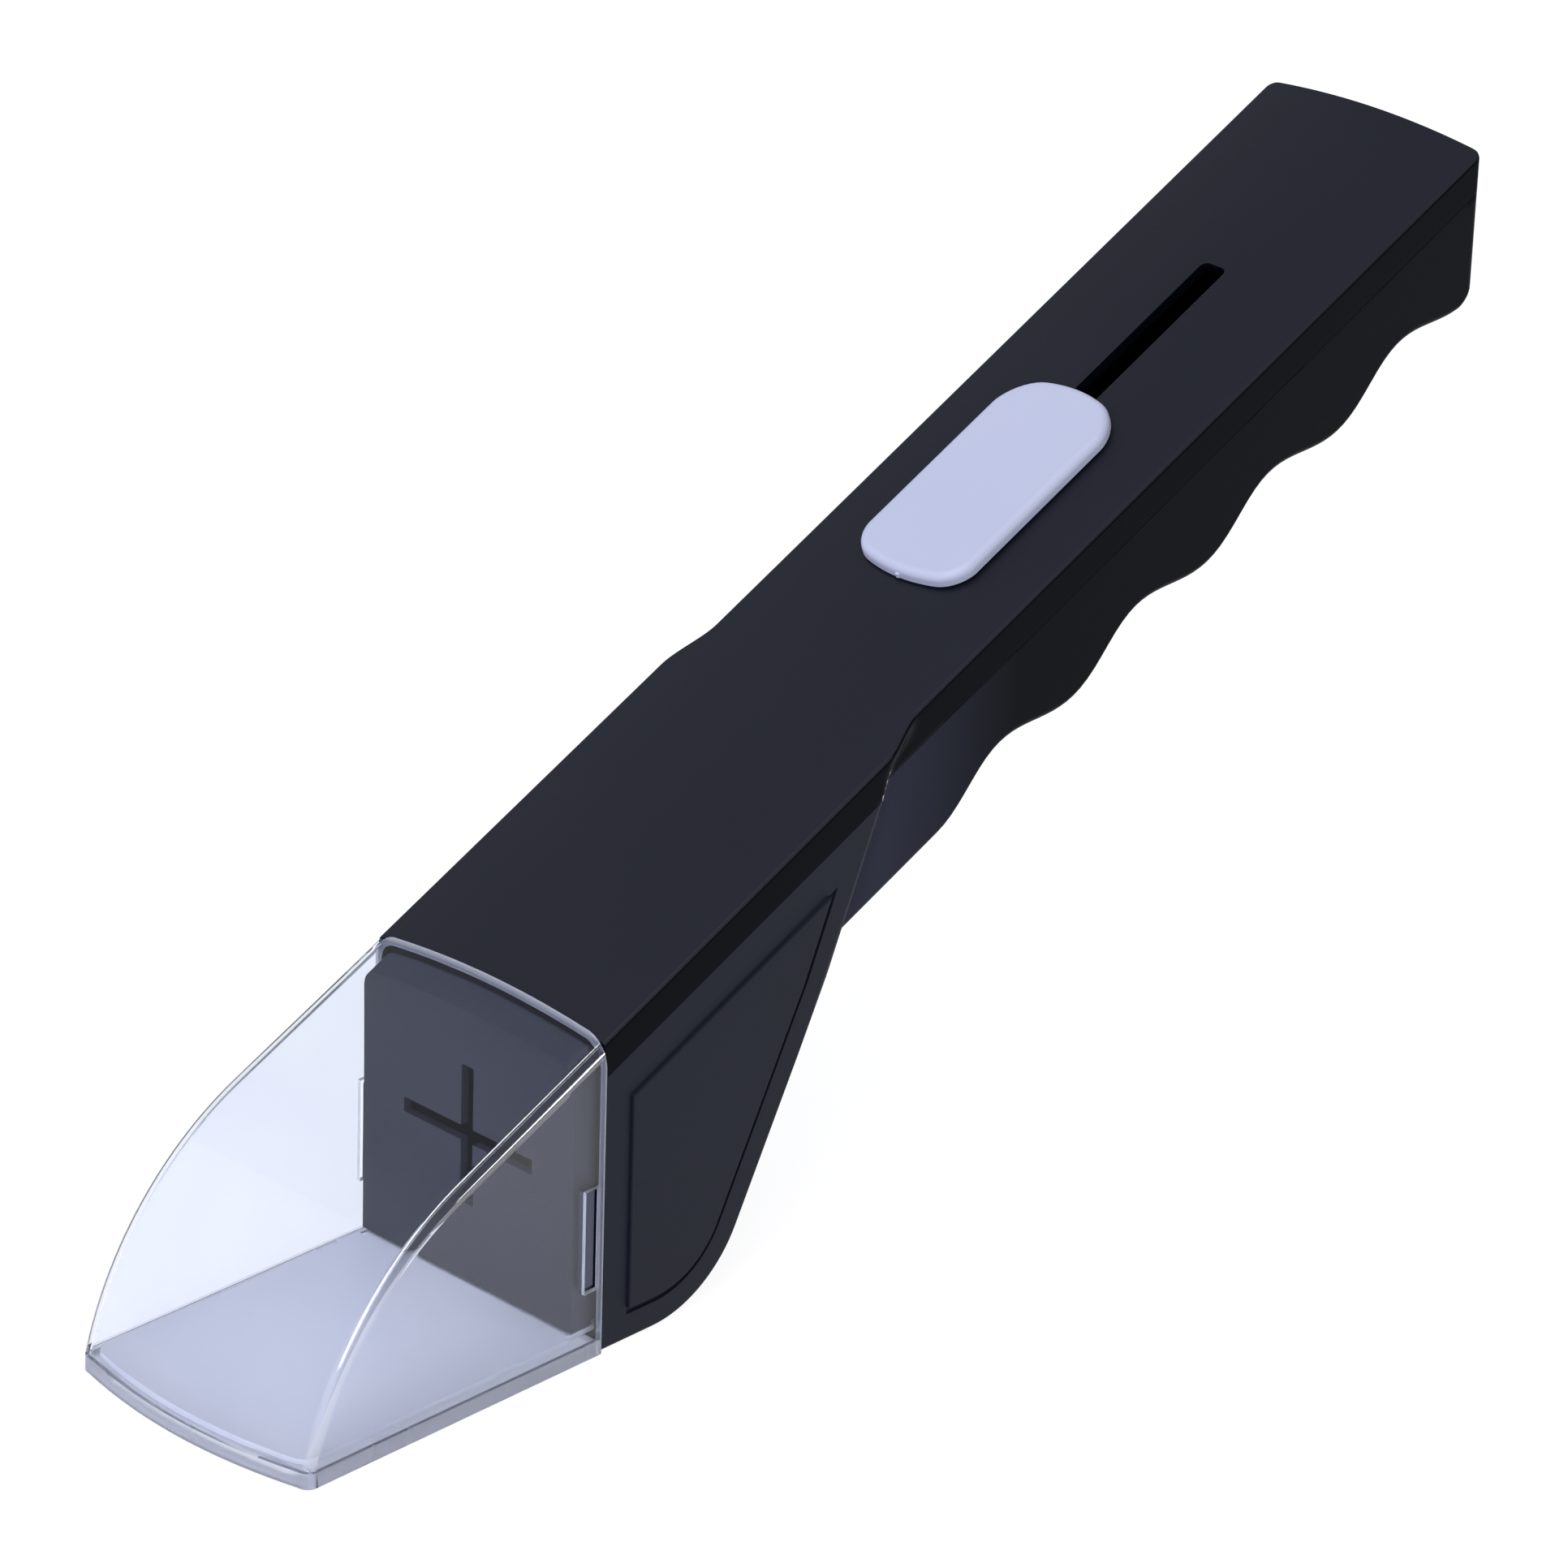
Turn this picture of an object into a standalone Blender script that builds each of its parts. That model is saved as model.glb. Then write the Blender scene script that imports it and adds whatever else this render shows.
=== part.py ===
"""Contactless bug catcher: a clear hood with a sliding trap door on the end of a tilted grip.

A thumb button on the grip pulls a flexible sheet back through the head. Its wide front end is the floor
of the hood, so sliding the button opens and shuts the trap. Metres, +Z up, mouth plane at Z = 0,
hood towards -Y, grip towards +Y.
"""

import math

import bmesh
import bpy
from mathutils import Matrix, Vector

# Head and hood
HEAD_WIDTH = 0.0400
HEAD_DEPTH = 0.0200
RIM_HEIGHT = 0.0438
RIM_LEAN = 0.0012
CROWN_RISE = 0.0014
ROOF_RADIUS = 0.0006
HEEL_RADIUS = 0.0165
HEEL_EDGE = 0.0012
REAR_WALL_ANGLE = math.radians(64)
WALL = 0.0016
HOOD_LENGTH = 0.0504
HOOD_WALL = 0.0011
NOSE_ANGLE = math.radians(61.5)
NOSE_RADIUS = 0.0350
NOSE_BULGE = 0.0028
LIP_RADIUS = 0.0016
LIP_HEIGHT = 0.0024
LEDGE_WIDTH = 0.0025
LEDGE_HEIGHT = 0.0020

# Grip
HANDLE_TILT = math.radians(25)
HANDLE_LENGTH = 0.1820
GRIP_WIDTH = 0.0359
GRIP_END_WIDTH = 0.0370
STEP_ANGLE = math.radians(68)
STEP_LENGTH = 0.0090
STEP_LIP = 0.0001
GRIP_DEPTH = 0.0191
GROOVE_DEPTH = 0.0038
GROOVE_COUNT = 4
FIRST_CREST = 0.0600
END_LAND = 0.0092
GRIP_RADIUS = 0.0010
END_RADIUS = 0.0030
COVER_SKIRT = 0.0050

# Raised panel on each side of the head
PANEL_INSET = 0.0047
PANEL_TOP = 0.0101
PANEL_RAISE = 0.0005

# Wall between hood and head, with its vent and the catches that hold the hood
SPIGOT_LENGTH = 0.0039
PLUG_LENGTH = 0.0060
PLATE_WALL = 0.0014
VENT_HEIGHT = 0.0194
VENT_WIDTH = 0.0225
VENT_SLOT = 0.0020
VENT_CENTRE = 0.0244
CATCH_LOW = 0.0100
CATCH_LENGTH = 0.0140
CATCH_DEPTH = 0.0020
CATCH_REAR = 0.0010

# Door sheet and the guide behind the hood
SHEET = 0.0008
TAIL_DEPTH = 0.0065
TAIL_BEND = 0.0140
GUIDE_GAP = 0.0005
GUIDE_WALL = 0.0014
GUIDE_TOP = 0.0130
GUIDE_LEAD = 0.0010

# Thumb button, carriage and their fastenings
TRAVEL = 0.0470
BUTTON_FRONT = 0.0805
BUTTON_LENGTH = 0.0380
BUTTON_WIDTH = 0.0186
BUTTON_HEIGHT = 0.0018
BUTTON_CORNER = 0.0048
BUTTON_EDGE = 0.0009
STEM_SETBACK = 0.0115
STEM_LENGTH = 0.0080
SLOT_WIDTH = 0.0040
SLOT_ROUNDING = 0.5
CARRIAGE_LEAD = 0.0080
CARRIAGE_LENGTH = 0.0280
CARRIAGE_PLATE = 0.0020
CLAMP_LAND = 0.0085
CLAMP_PLATE = 0.0012
CLAMP_MARGIN = 0.0030
RAIL_WALL = 0.0012
RAIL_HEIGHT = 0.0032

# Self-tapping screws: head radius, head height, shank radius
HOUSING_SCREW = (0.0021, 0.0016, 0.0011)
SMALL_SCREW = (0.0016, 0.0011, 0.0008)
BOSS_GAP = 0.0012
BOSS_RADIUS = 0.0030
BOSS_TOP = 0.0080
SCREW_SEAT = 0.0120
SCREW_LENGTH = 0.0075
COVER_BOSS_RADIUS = 0.0026
SMALL_GRIP = 0.0022
HEAD_TAPER = 0.7

GAP = 0.0003
OVERLAP = 0.0006
FAR = 0.0600
ARC_STEP = math.radians(8)
LONG_STEP = 0.0200
SHORT_STEP = 0.0015
LEAN_PASSES = 6
HALF_STEPS = 9
CORNER_STEPS = 6
EDGE_STEPS = 3
POST_SIDES = 24
SCREW_SIDES = 20

# Sizes worked out from those above
HEAD_HALF = HEAD_WIDTH / 2
RIM_TILT = math.atan2(RIM_LEAN, RIM_HEIGHT)
SECTION_LEAN = math.tan(HANDLE_TILT - RIM_TILT)
STEP_SLOPE = 1 / math.tan(STEP_ANGLE - HANDLE_TILT)
ARCH_RADIUS = (HEAD_HALF**2 + CROWN_RISE**2) / (2 * CROWN_RISE)
GROOVE_END = HANDLE_LENGTH - END_LAND
GROOVE_PITCH = (GROOVE_END - FIRST_CREST) / GROOVE_COUNT
DOOR_FLOOR = LEDGE_HEIGHT + GAP
DOOR_MIDDLE = DOOR_FLOOR + SHEET / 2
DOOR_TOP = DOOR_FLOOR + SHEET
DOOR_INSET = max(WALL, HOOD_WALL) + GAP
PANEL_END = PLUG_LENGTH
GUIDE_START = PLUG_LENGTH + GUIDE_LEAD
RIM_TOP = Vector((-RIM_LEAN, RIM_HEIGHT))
ALONG = Vector((math.cos(HANDLE_TILT), math.sin(HANDLE_TILT)))
DOWN = Vector((math.sin(HANDLE_TILT), -math.cos(HANDLE_TILT)))
LIP_FRONT = -HOOD_LENGTH - NOSE_BULGE
END_FOOT = GRIP_DEPTH - END_RADIUS
HANDLE_END = RIM_TOP.x + (HANDLE_LENGTH - END_FOOT * SECTION_LEAN) * ALONG.x + END_FOOT * DOWN.x
MIDDLE = (LIP_FRONT + HANDLE_END) / 2
BOSS_INSET = WALL + BOSS_RADIUS + BOSS_GAP
RAIL_INSET = BOSS_INSET + COVER_BOSS_RADIUS + RAIL_WALL + 3 * GAP
CARRIAGE_WIDTH = min(GRIP_WIDTH, GRIP_END_WIDTH) - 2 * RAIL_INSET
TAIL_WIDTH = CARRIAGE_WIDTH
CLAMP_SPACING = CARRIAGE_WIDTH - 2 * CLAMP_MARGIN
STEM_FRONT = BUTTON_FRONT + STEM_SETBACK
STEM_REAR = STEM_FRONT + STEM_LENGTH
STEM_MIDDLE = STEM_FRONT + STEM_LENGTH / 2
SLOT_FRONT = STEM_FRONT - GAP
SLOT_REAR = STEM_REAR + TRAVEL + GAP
SLOT_CORNER = SLOT_ROUNDING * SLOT_WIDTH / 2
CARRIAGE_FRONT = STEM_FRONT - CARRIAGE_LEAD
CARRIAGE_TOP = WALL - CROWN_RISE + 4 * GAP
CARRIAGE_UNDER = CARRIAGE_TOP + CARRIAGE_PLATE
LAND_UNDER = TAIL_DEPTH - SHEET / 2 - GAP
CLAMP_TOP = TAIL_DEPTH + SHEET / 2 + GAP
CLAMP_CENTRE = CARRIAGE_FRONT + CLAMP_LAND / 2


# Outlines in the side view (y, z) or across the grip (x, depth)
def side_point(s, n):
    """The (y, z) of a point s along the grip's top edge and n below it."""
    return RIM_TOP + ALONG * s + DOWN * n


def crossing(point, angle, other, other_angle):
    """Where two lines meet, each given by a point and its angle from the Y axis."""
    way = Vector((math.cos(angle), math.sin(angle)))
    across = Vector((-math.sin(other_angle), math.cos(other_angle)))
    return point + way * ((other - point).dot(across) / way.dot(across))


def rounded(corners):
    """A path through the corners (point, radius), with an arc of that radius at each inner one."""
    path = [corners[0][0]]
    for (before, _), (corner, radius), (after, _) in zip(corners, corners[1:], corners[2:]):
        back = (before - corner).normalized()
        ahead = (after - corner).normalized()
        turn = math.pi - back.angle(ahead)
        if radius == 0:
            path.append(corner)
            continue
        start = corner + back * (radius * math.tan(turn / 2))
        inward = (back + ahead).normalized()
        centre = corner + inward * (radius / math.cos(turn / 2))
        side = math.copysign(1, back.cross(ahead))
        steps = max(2, math.ceil(turn / ARC_STEP))
        for i in range(steps + 1):
            angle = -side * turn * i / steps
            path.append(centre + Matrix.Rotation(angle, 2) @ (start - centre))
    path.append(corners[-1][0])
    return path


def shifted(path, distance):
    """The path moved to its left by a distance, square to each stretch."""
    moved = []
    for i, point in enumerate(path):
        ways = []
        if i > 0:
            ways.append((point - path[i - 1]).normalized())
        if i < len(path) - 1:
            ways.append((path[i + 1] - point).normalized())
        lefts = [Vector((-way.y, way.x)) for way in ways]
        left = (lefts[0] + lefts[-1]).normalized()
        moved.append(point + left * (distance / left.dot(lefts[0])))
    return moved


def shares():
    """Places across a half width from -1 to 1, closer together towards the ends."""
    return [math.sin(math.pi / 2 * i / HALF_STEPS) for i in range(-HALF_STEPS, HALF_STEPS + 1)]


def arch(x):
    """Depth of the bare arched roof at x, with 0 at the head's sides."""
    return x * x / (2 * ARCH_RADIUS) - CROWN_RISE


def roof(x, inset):
    """Depth of the roof at x, moved in by inset, rounded where it meets the head's sides."""
    radius = max(ROOF_RADIUS - inset, 0)
    start = HEAD_HALF - inset - radius
    reach = max(abs(x) - start, 0)
    return arch(min(abs(x), start)) + inset + radius - math.sqrt(max(radius**2 - reach**2, 0))


def rear_wall_foot(inset):
    """Where the rear wall, moved inwards by inset, meets the mouth plane."""
    return Vector((HEAD_DEPTH - inset / math.sin(REAR_WALL_ANGLE), 0))


STEP_FOOT = crossing(rear_wall_foot(0), REAR_WALL_ANGLE, side_point(0, GRIP_DEPTH), HANDLE_TILT)
STEP_TOP = crossing(STEP_FOOT, STEP_ANGLE, RIM_TOP, HANDLE_TILT)
STEP_START = (STEP_TOP - RIM_TOP).dot(ALONG)
GRIP_START = (STEP_FOOT - RIM_TOP).dot(ALONG)


def half_width(s, n, widest):
    """Half the width at a point of the side: the head's, then an S-shaped step in to the grip's."""
    place = s + n * STEP_SLOPE - STEP_START
    step = min(max(place / STEP_LENGTH, 0), 1)
    step = step * step * (3 - 2 * step)
    taper = max(place, 0) / (HANDLE_LENGTH - STEP_START)
    grip = (GRIP_WIDTH + (GRIP_END_WIDTH - GRIP_WIDTH) * taper) / 2
    return widest + (grip - widest) * step


def grip_depth(s):
    """Depth of the grip's underside: flat, then a wave with one hollow for each finger."""
    if not FIRST_CREST < s < GROOVE_END:
        return GRIP_DEPTH
    return GRIP_DEPTH - GROOVE_DEPTH * (1 - math.cos(2 * math.pi * (s - FIRST_CREST) / GROOVE_PITCH)) / 2


def ring_depth(s):
    """Depth at which a section that leans as the rim does, from s on the top edge, meets the underside."""
    depth = GRIP_DEPTH
    for _ in range(LEAN_PASSES):
        depth = grip_depth(s - depth * SECTION_LEAN)
    into = min(max(s - HANDLE_LENGTH + END_RADIUS, 0), END_RADIUS)
    return depth - END_RADIUS + math.sqrt(END_RADIUS**2 - into**2)


def head_outline(inset, front, top):
    """Side view of the head from a front line to a depth below the roof, moved in at base and back."""
    corner = Vector((front, inset))
    heel = crossing(rear_wall_foot(inset), REAR_WALL_ANGLE, corner, 0)
    bend = crossing(heel, REAR_WALL_ANGLE, side_point(0, GRIP_DEPTH - OVERLAP), HANDLE_TILT)
    crest = crossing(bend, STEP_ANGLE, side_point(0, top), HANDLE_TILT)
    rim = crossing(corner, math.pi / 2 + RIM_TILT, side_point(0, top), HANDLE_TILT)
    return rounded([(corner, 0), (heel, HEEL_RADIUS - inset), (bend, 0), (crest, 0), (rim, 0)])


def nose_path(inset):
    """Side view of the hood's upper edge from the rim to the lip, moved in by inset."""
    flow = HANDLE_TILT + math.pi
    rim = crossing(Vector((-GAP, 0)), math.pi / 2 + RIM_TILT, side_point(0, inset), HANDLE_TILT)
    lip = Vector((-HOOD_LENGTH, LIP_HEIGHT))
    inward = Vector((math.sin(NOSE_ANGLE), -math.cos(NOSE_ANGLE))) * inset
    brow = crossing(rim, flow, lip + inward, NOSE_ANGLE)
    foot = Vector((-HOOD_LENGTH + inset, 0))
    chin = crossing(brow, NOSE_ANGLE, foot, math.pi / 2)
    return rounded([(rim, 0), (brow, NOSE_RADIUS - inset), (chin, 0), (foot, 0)])


def mouth_front(x, inset):
    """How far forward the hood's front reaches at x in the mouth plane."""
    start = HEAD_HALF - LIP_RADIUS
    reach = max(abs(x) + inset - start, 0)
    corner = LIP_RADIUS - math.sqrt(max(LIP_RADIUS**2 - reach**2, 0))
    return -HOOD_LENGTH - NOSE_BULGE * (1 - (x / HEAD_HALF) ** 2) + inset + corner


def mouth_outline(inset, rear):
    """Plan of the hood's inside, moved in by inset, with a straight rear edge."""
    half = HEAD_HALF - inset
    front = [Vector((half * f, mouth_front(half * f, inset))) for f in shares()]
    return [Vector((half, rear)), Vector((-half, rear))] + front


# Mesh and object helpers
def shell_material(name, colour, roughness, alpha=1.0):
    material = bpy.data.materials.new(name)
    material.use_nodes = True
    shader = material.node_tree.nodes["Principled BSDF"]
    shader.inputs["Base Color"].default_value = (*colour, 1)
    shader.inputs["Roughness"].default_value = roughness
    shader.inputs["Metallic"].default_value = 0
    shader.inputs["Alpha"].default_value = alpha
    return material


def steel_material():
    material = shell_material("screw_steel", (0.55, 0.56, 0.58), 0.35)
    material.node_tree.nodes["Principled BSDF"].inputs["Metallic"].default_value = 1
    return material


def put(name, bm, material, parent, collection):
    """A named object from a bmesh, with its faces turned outwards."""
    bmesh.ops.recalc_face_normals(bm, faces=bm.faces)
    mesh = bpy.data.meshes.new(name)
    bm.to_mesh(mesh)
    bm.free()
    if material:
        mesh.materials.append(material)
    obj = bpy.data.objects.new(name, mesh)
    collection.objects.link(obj)
    obj.parent = parent
    return obj


def prism(outline, low, high, place):
    """A bmesh of a flat outline pushed from low to high, with place turning (u, v, w) into a point."""
    bm = bmesh.new()
    face = bm.faces.new([bm.verts.new(place(p[0], p[1], low)) for p in outline])
    pushed = bmesh.ops.extrude_face_region(bm, geom=[face])
    move = Vector(place(0, 0, high)) - Vector(place(0, 0, low))
    tops = [v for v in pushed["geom"] if isinstance(v, bmesh.types.BMVert)]
    bmesh.ops.translate(bm, verts=tops, vec=move)
    return bm


def across(y, z, x):
    return (x, y, z)


def upright(x, y, z):
    return (x, y, z)


def grip_side(s, n, x):
    return (x, s, -n)


def grip_plan(x, s, n):
    return (x, s, -n)


def box(low, high):
    bm = bmesh.new()
    bmesh.ops.create_cube(bm, size=1)
    size = Vector(high) - Vector(low)
    middle = (Vector(high) + Vector(low)) / 2
    bmesh.ops.scale(bm, verts=bm.verts, vec=size)
    bmesh.ops.translate(bm, verts=bm.verts, vec=middle)
    return bm


def post(x, s, top, foot, radius):
    """A bmesh cylinder square to the grip, between two depths."""
    bm = bmesh.new()
    middle = Matrix.Translation((x, s, -(top + foot) / 2))
    size = {"radius1": radius, "radius2": radius, "depth": foot - top}
    bmesh.ops.create_cone(bm, cap_ends=True, segments=POST_SIDES, matrix=middle, **size)
    return bm


def loft(rings):
    """A bmesh skin through closed rings with equal counts of points, capped at both ends."""
    bm = bmesh.new()
    rows = [[bm.verts.new(p) for p in ring] for ring in rings]
    for row, after in zip(rows, rows[1:]):
        for i in range(len(row)):
            j = (i + 1) % len(row)
            bm.faces.new((row[i], row[j], after[j], after[i]))
    bm.faces.new(rows[0])
    bm.faces.new(rows[-1])
    bmesh.ops.triangulate(bm, faces=bm.faces)
    return bm


def combine(obj, other, operation):
    """An exact Boolean of obj with a helper object, left on the object as a modifier."""
    modifier = obj.modifiers.new(other.name, "BOOLEAN")
    modifier.operation = operation
    modifier.object = other
    modifier.solver = "EXACT"


def rounded_rectangle(front, length, width, corner):
    """Plan outline (x, s) of a pad with round corners, centred on the grip."""
    points = []
    for side, end in ((1, 1), (-1, 1), (-1, -1), (1, -1)):
        x = side * (width / 2 - corner)
        s = front + length / 2 + end * (length / 2 - corner)
        begin = math.atan2(end, side) - math.pi / 4
        for i in range(CORNER_STEPS + 1):
            turn = begin + math.pi / 2 * i / CORNER_STEPS
            points.append((x + corner * math.cos(turn), s + corner * math.sin(turn)))
    return points


class Build:
    """The collections, empties and materials that the pieces share."""

    def __init__(self):
        for obj in list(bpy.data.objects):
            bpy.data.objects.remove(obj)
        self.parts = bpy.data.collections.new("bug_catcher")
        self.helpers = bpy.data.collections.new("bug_catcher_cutters")
        for collection in (self.parts, self.helpers):
            bpy.context.scene.collection.children.link(collection)
        self.root = self.empty("bug_catcher_root", None, (0, -MIDDLE, 0), 0)
        self.handle = self.empty("handle_axis", self.root, (0, *RIM_TOP), HANDLE_TILT)
        self.rim = self.empty("rim_plane", self.root, (0, 0, 0), RIM_TILT)
        self.slider = self.empty("button_slide_axis", self.handle, (0, 0, 0), 0)
        self.door = self.empty("door_slide_axis", self.root, (0, 0, 0), 0)
        self.black = shell_material("black_abs", (0.020, 0.021, 0.026), 0.45)
        self.white = shell_material("white_abs", (0.62, 0.64, 0.74), 0.5)
        self.sheet = shell_material("white_pp_sheet", (0.60, 0.62, 0.72), 0.45)
        self.clear = shell_material("clear_styrene", (0.93, 0.94, 0.97), 0.05, 0.3)
        self.grey = shell_material("dark_abs", (0.035, 0.037, 0.045), 0.5)
        self.steel = steel_material()

    def empty(self, name, parent, location, tilt):
        obj = bpy.data.objects.new(name, None)
        obj.parent = parent
        obj.location = location
        obj.rotation_euler.x = tilt
        self.parts.objects.link(obj)
        return obj

    def part(self, name, bm, material, parent):
        obj = put(name, bm, material, parent, self.parts)
        obj.data.shade_smooth()
        obj.data.set_sharp_from_angle(angle=math.radians(35))
        return obj

    def helper(self, name, bm, parent):
        obj = put(name, bm, None, parent, self.helpers)
        obj.hide_render = True
        obj.display_type = "WIRE"
        return obj

    def join(self, obj, name, bm, parent):
        combine(obj, self.helper(name, bm, parent), "UNION")

    def cut(self, obj, name, bm, parent):
        combine(obj, self.helper(name, bm, parent), "DIFFERENCE")


# Top cover: an arched lid with the slot, over head and grip
def cover_line(s, inset):
    """Points (x, depth) across the cover's outside at s, or inset below it, from left to right."""
    line = []
    for share in shares():
        x = share * (half_width(s, 0, HEAD_HALF) - inset)
        line.append((x, roof(x, inset)))
    return line


def leaning(section, s):
    """A ring of (x, depth) points stood on the grip at s, in a plane that leans as the rim does."""
    return [(x, s - n * SECTION_LEAN, -n) for x, n in section]


def cover_ring(s):
    foot = half_width(s - COVER_SKIRT * SECTION_LEAN, COVER_SKIRT, HEAD_HALF)
    outside = [(-foot, COVER_SKIRT)] + cover_line(s, 0) + [(foot, COVER_SKIRT)]
    inside = [(WALL - foot, COVER_SKIRT)] + cover_line(s, WALL) + [(foot - WALL, COVER_SKIRT)]
    return leaning(outside + inside[::-1], s)


def cover_end_ring(s):
    """The end wall's outline, halfway into the cover's walls."""
    foot = half_width(s, 0, HEAD_HALF) - WALL / 2
    skirt = COVER_SKIRT - GAP
    return leaning([(-foot, skirt)] + cover_line(s, WALL / 2) + [(foot, skirt)], s)


def span(low, high, step):
    """Evenly spaced places from low to high, no further apart than step."""
    count = max(1, math.ceil((high - low) / step))
    return [low + (high - low) * i / count for i in range(count + 1)]


def screw_places():
    """Two screws in the first finger hollow and two in the last."""
    first = FIRST_CREST + GROOVE_PITCH / 2
    last = GROOVE_END - GROOVE_PITCH / 2
    places = [(half_width(s, SCREW_SEAT, HEAD_HALF) - BOSS_INSET, s) for s in (first, last)]
    return [(side * x, s) for x, s in places for side in (-1, 1)]


def top_cover(build):
    low = STEP_START - COVER_SKIRT * STEP_SLOPE
    high = STEP_START + STEP_LENGTH + COVER_SKIRT * SECTION_LEAN
    places = span(0, low, LONG_STEP) + span(low, high, SHORT_STEP)[1:]
    places += span(high, HANDLE_LENGTH, LONG_STEP)[1:]
    cover = build.part("top_cover", loft([cover_ring(s) for s in places]), build.black, build.handle)
    end = loft([cover_end_ring(HANDLE_LENGTH - WALL), cover_end_ring(HANDLE_LENGTH - GAP)])
    build.join(cover, "cover_end", end, build.handle)
    rail = CARRIAGE_WIDTH / 2 + GAP
    rail_top = arch(rail) + WALL - OVERLAP
    run_front = CARRIAGE_FRONT - GAP
    run_rear = CARRIAGE_FRONT + CARRIAGE_LENGTH + TRAVEL + GAP
    for side in (-1, 1):
        near, far = sorted((side * rail, side * (rail + RAIL_WALL)))
        shape = box((near, run_front, -rail_top - RAIL_HEIGHT), (far, run_rear, -rail_top))
        build.join(cover, f"cover_rail_{side}", shape, build.handle)
    for i, (x, s) in enumerate(screw_places()):
        foot = BOSS_TOP - GAP
        boss = post(x, s, arch(x) + WALL - OVERLAP, foot, COVER_BOSS_RADIUS)
        build.join(cover, f"cover_boss_{i}", boss, build.handle)
        tip = SCREW_SEAT - SCREW_LENGTH - GAP
        build.cut(cover, f"cover_pilot_{i}", post(x, s, tip, FAR, HOUSING_SCREW[2] + GAP), build.handle)
    slot = rounded_rectangle(SLOT_FRONT, SLOT_REAR - SLOT_FRONT, SLOT_WIDTH, SLOT_CORNER)
    build.cut(cover, "cover_slot", prism(slot, -FAR, RAIL_HEIGHT, grip_plan), build.handle)


# Grip body: the head's trough with its curved heel, and the grooved trough of the grip
def grip_ring(s, inset, top):
    """A ring across the grip at s: straight sides and a round-cornered base, moved in by inset."""
    base = ring_depth(s) - inset
    radius = max(GRIP_RADIUS - inset, GAP)
    right = []
    for i in range(4):
        n = top + (base - radius - top) * i / 3
        right.append((half_width(s - n * SECTION_LEAN, n, HEAD_HALF - STEP_LIP) - inset, n))
    centre = right[-1][0] - radius
    for i in range(1, 6):
        turn = math.pi / 2 * i / 5
        right.append((centre + radius * math.cos(turn), base - radius + radius * math.sin(turn)))
    return leaning(right + [(-x, n) for x, n in right[::-1]], s)


def grip_trough(inset, top, start, end):
    lean = GRIP_DEPTH * SECTION_LEAN
    places = span(start, FIRST_CREST + lean, SHORT_STEP * 2)
    places += span(places[-1], HANDLE_LENGTH - END_RADIUS, GROOVE_PITCH / 10)[1:]
    places = [s for s in places if s < end - END_RADIUS]
    return loft([grip_ring(s, inset, top) for s in places + span(end - END_RADIUS, end, SHORT_STEP / 2)])


def head_block(inset, front, top, half):
    """The head's outline pushed out to both sides."""
    return prism(head_outline(inset, front, top), -half, half, across)


def round_heel(bm):
    """Rounds the long lower edges of the head, from the rim round the heel to the grip."""
    edges = []
    for edge in bm.edges:
        a, b = (v.co for v in edge.verts)
        if a.x * b.x > 0 and max(a.y, b.y) > GAP and (a.z + b.z) / 2 < STEP_FOOT.y:
            edges.append(edge)
    bmesh.ops.bevel(bm, geom=edges, offset=HEEL_EDGE, segments=EDGE_STEPS, profile=0.5, affect="EDGES")
    return bm


def grip_body(build):
    seam = COVER_SKIRT + GAP
    block = round_heel(head_block(0, 0, COVER_SKIRT / 2, HEAD_HALF))
    body = build.part("grip_body", block, build.black, build.root)
    outside = grip_trough(0, COVER_SKIRT / 3, GRIP_START, HANDLE_LENGTH)
    build.join(body, "grip_outside", outside, build.handle)
    for side in (-1, 1):
        inner, outer = sorted((side * (HEAD_HALF - OVERLAP), side * (HEAD_HALF + PANEL_RAISE)))
        panel = prism(head_outline(PANEL_INSET, PANEL_INSET, PANEL_TOP), inner, outer, across)
        build.join(body, f"side_panel_{side}", panel, build.root)
    build.cut(body, "head_inside", head_block(WALL, -FAR, 0, HEAD_HALF - WALL), build.root)
    inside = grip_trough(WALL, GAP, GRIP_START - GRIP_DEPTH / 2, HANDLE_LENGTH - WALL)
    build.cut(body, "grip_inside", inside, build.handle)
    for i, (x, s) in enumerate(screw_places()):
        boss = post(x, s, BOSS_TOP, grip_depth(s) - WALL / 2, BOSS_RADIUS)
        build.join(body, f"grip_boss_{i}", boss, build.handle)
        build.cut(body, f"screw_hole_{i}", post(x, s, 0, FAR, HOUSING_SCREW[2] + GAP), build.handle)
        seat = post(x, s, SCREW_SEAT, FAR, HOUSING_SCREW[0] + GAP)
        build.cut(body, f"screw_seat_{i}", seat, build.handle)
    above = box((-FAR, -FAR, -seam), (FAR, HANDLE_LENGTH + FAR, FAR))
    build.cut(body, "seam", above, build.handle)


# Bulkhead: the vented wall that closes the head and carries the hood
def roof_height(d, x, inset):
    """Height of the roof, moved in by inset, in a plane d behind the rim."""
    rise = math.tan(HANDLE_TILT)
    height = RIM_TOP.y + (d - RIM_TOP.x) * rise - roof(x, inset) / math.cos(HANDLE_TILT)
    return height / (1 + math.tan(RIM_TILT) * rise)


def bulkhead_ring(d, inset, base):
    half = HEAD_HALF - inset
    top = [(half * share, roof_height(d, half * share, inset)) for share in shares()]
    ring = [(-half, base)] + top + [(half, base)]
    return [(x, d - z * math.tan(RIM_TILT), z) for x, z in ring]


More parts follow.
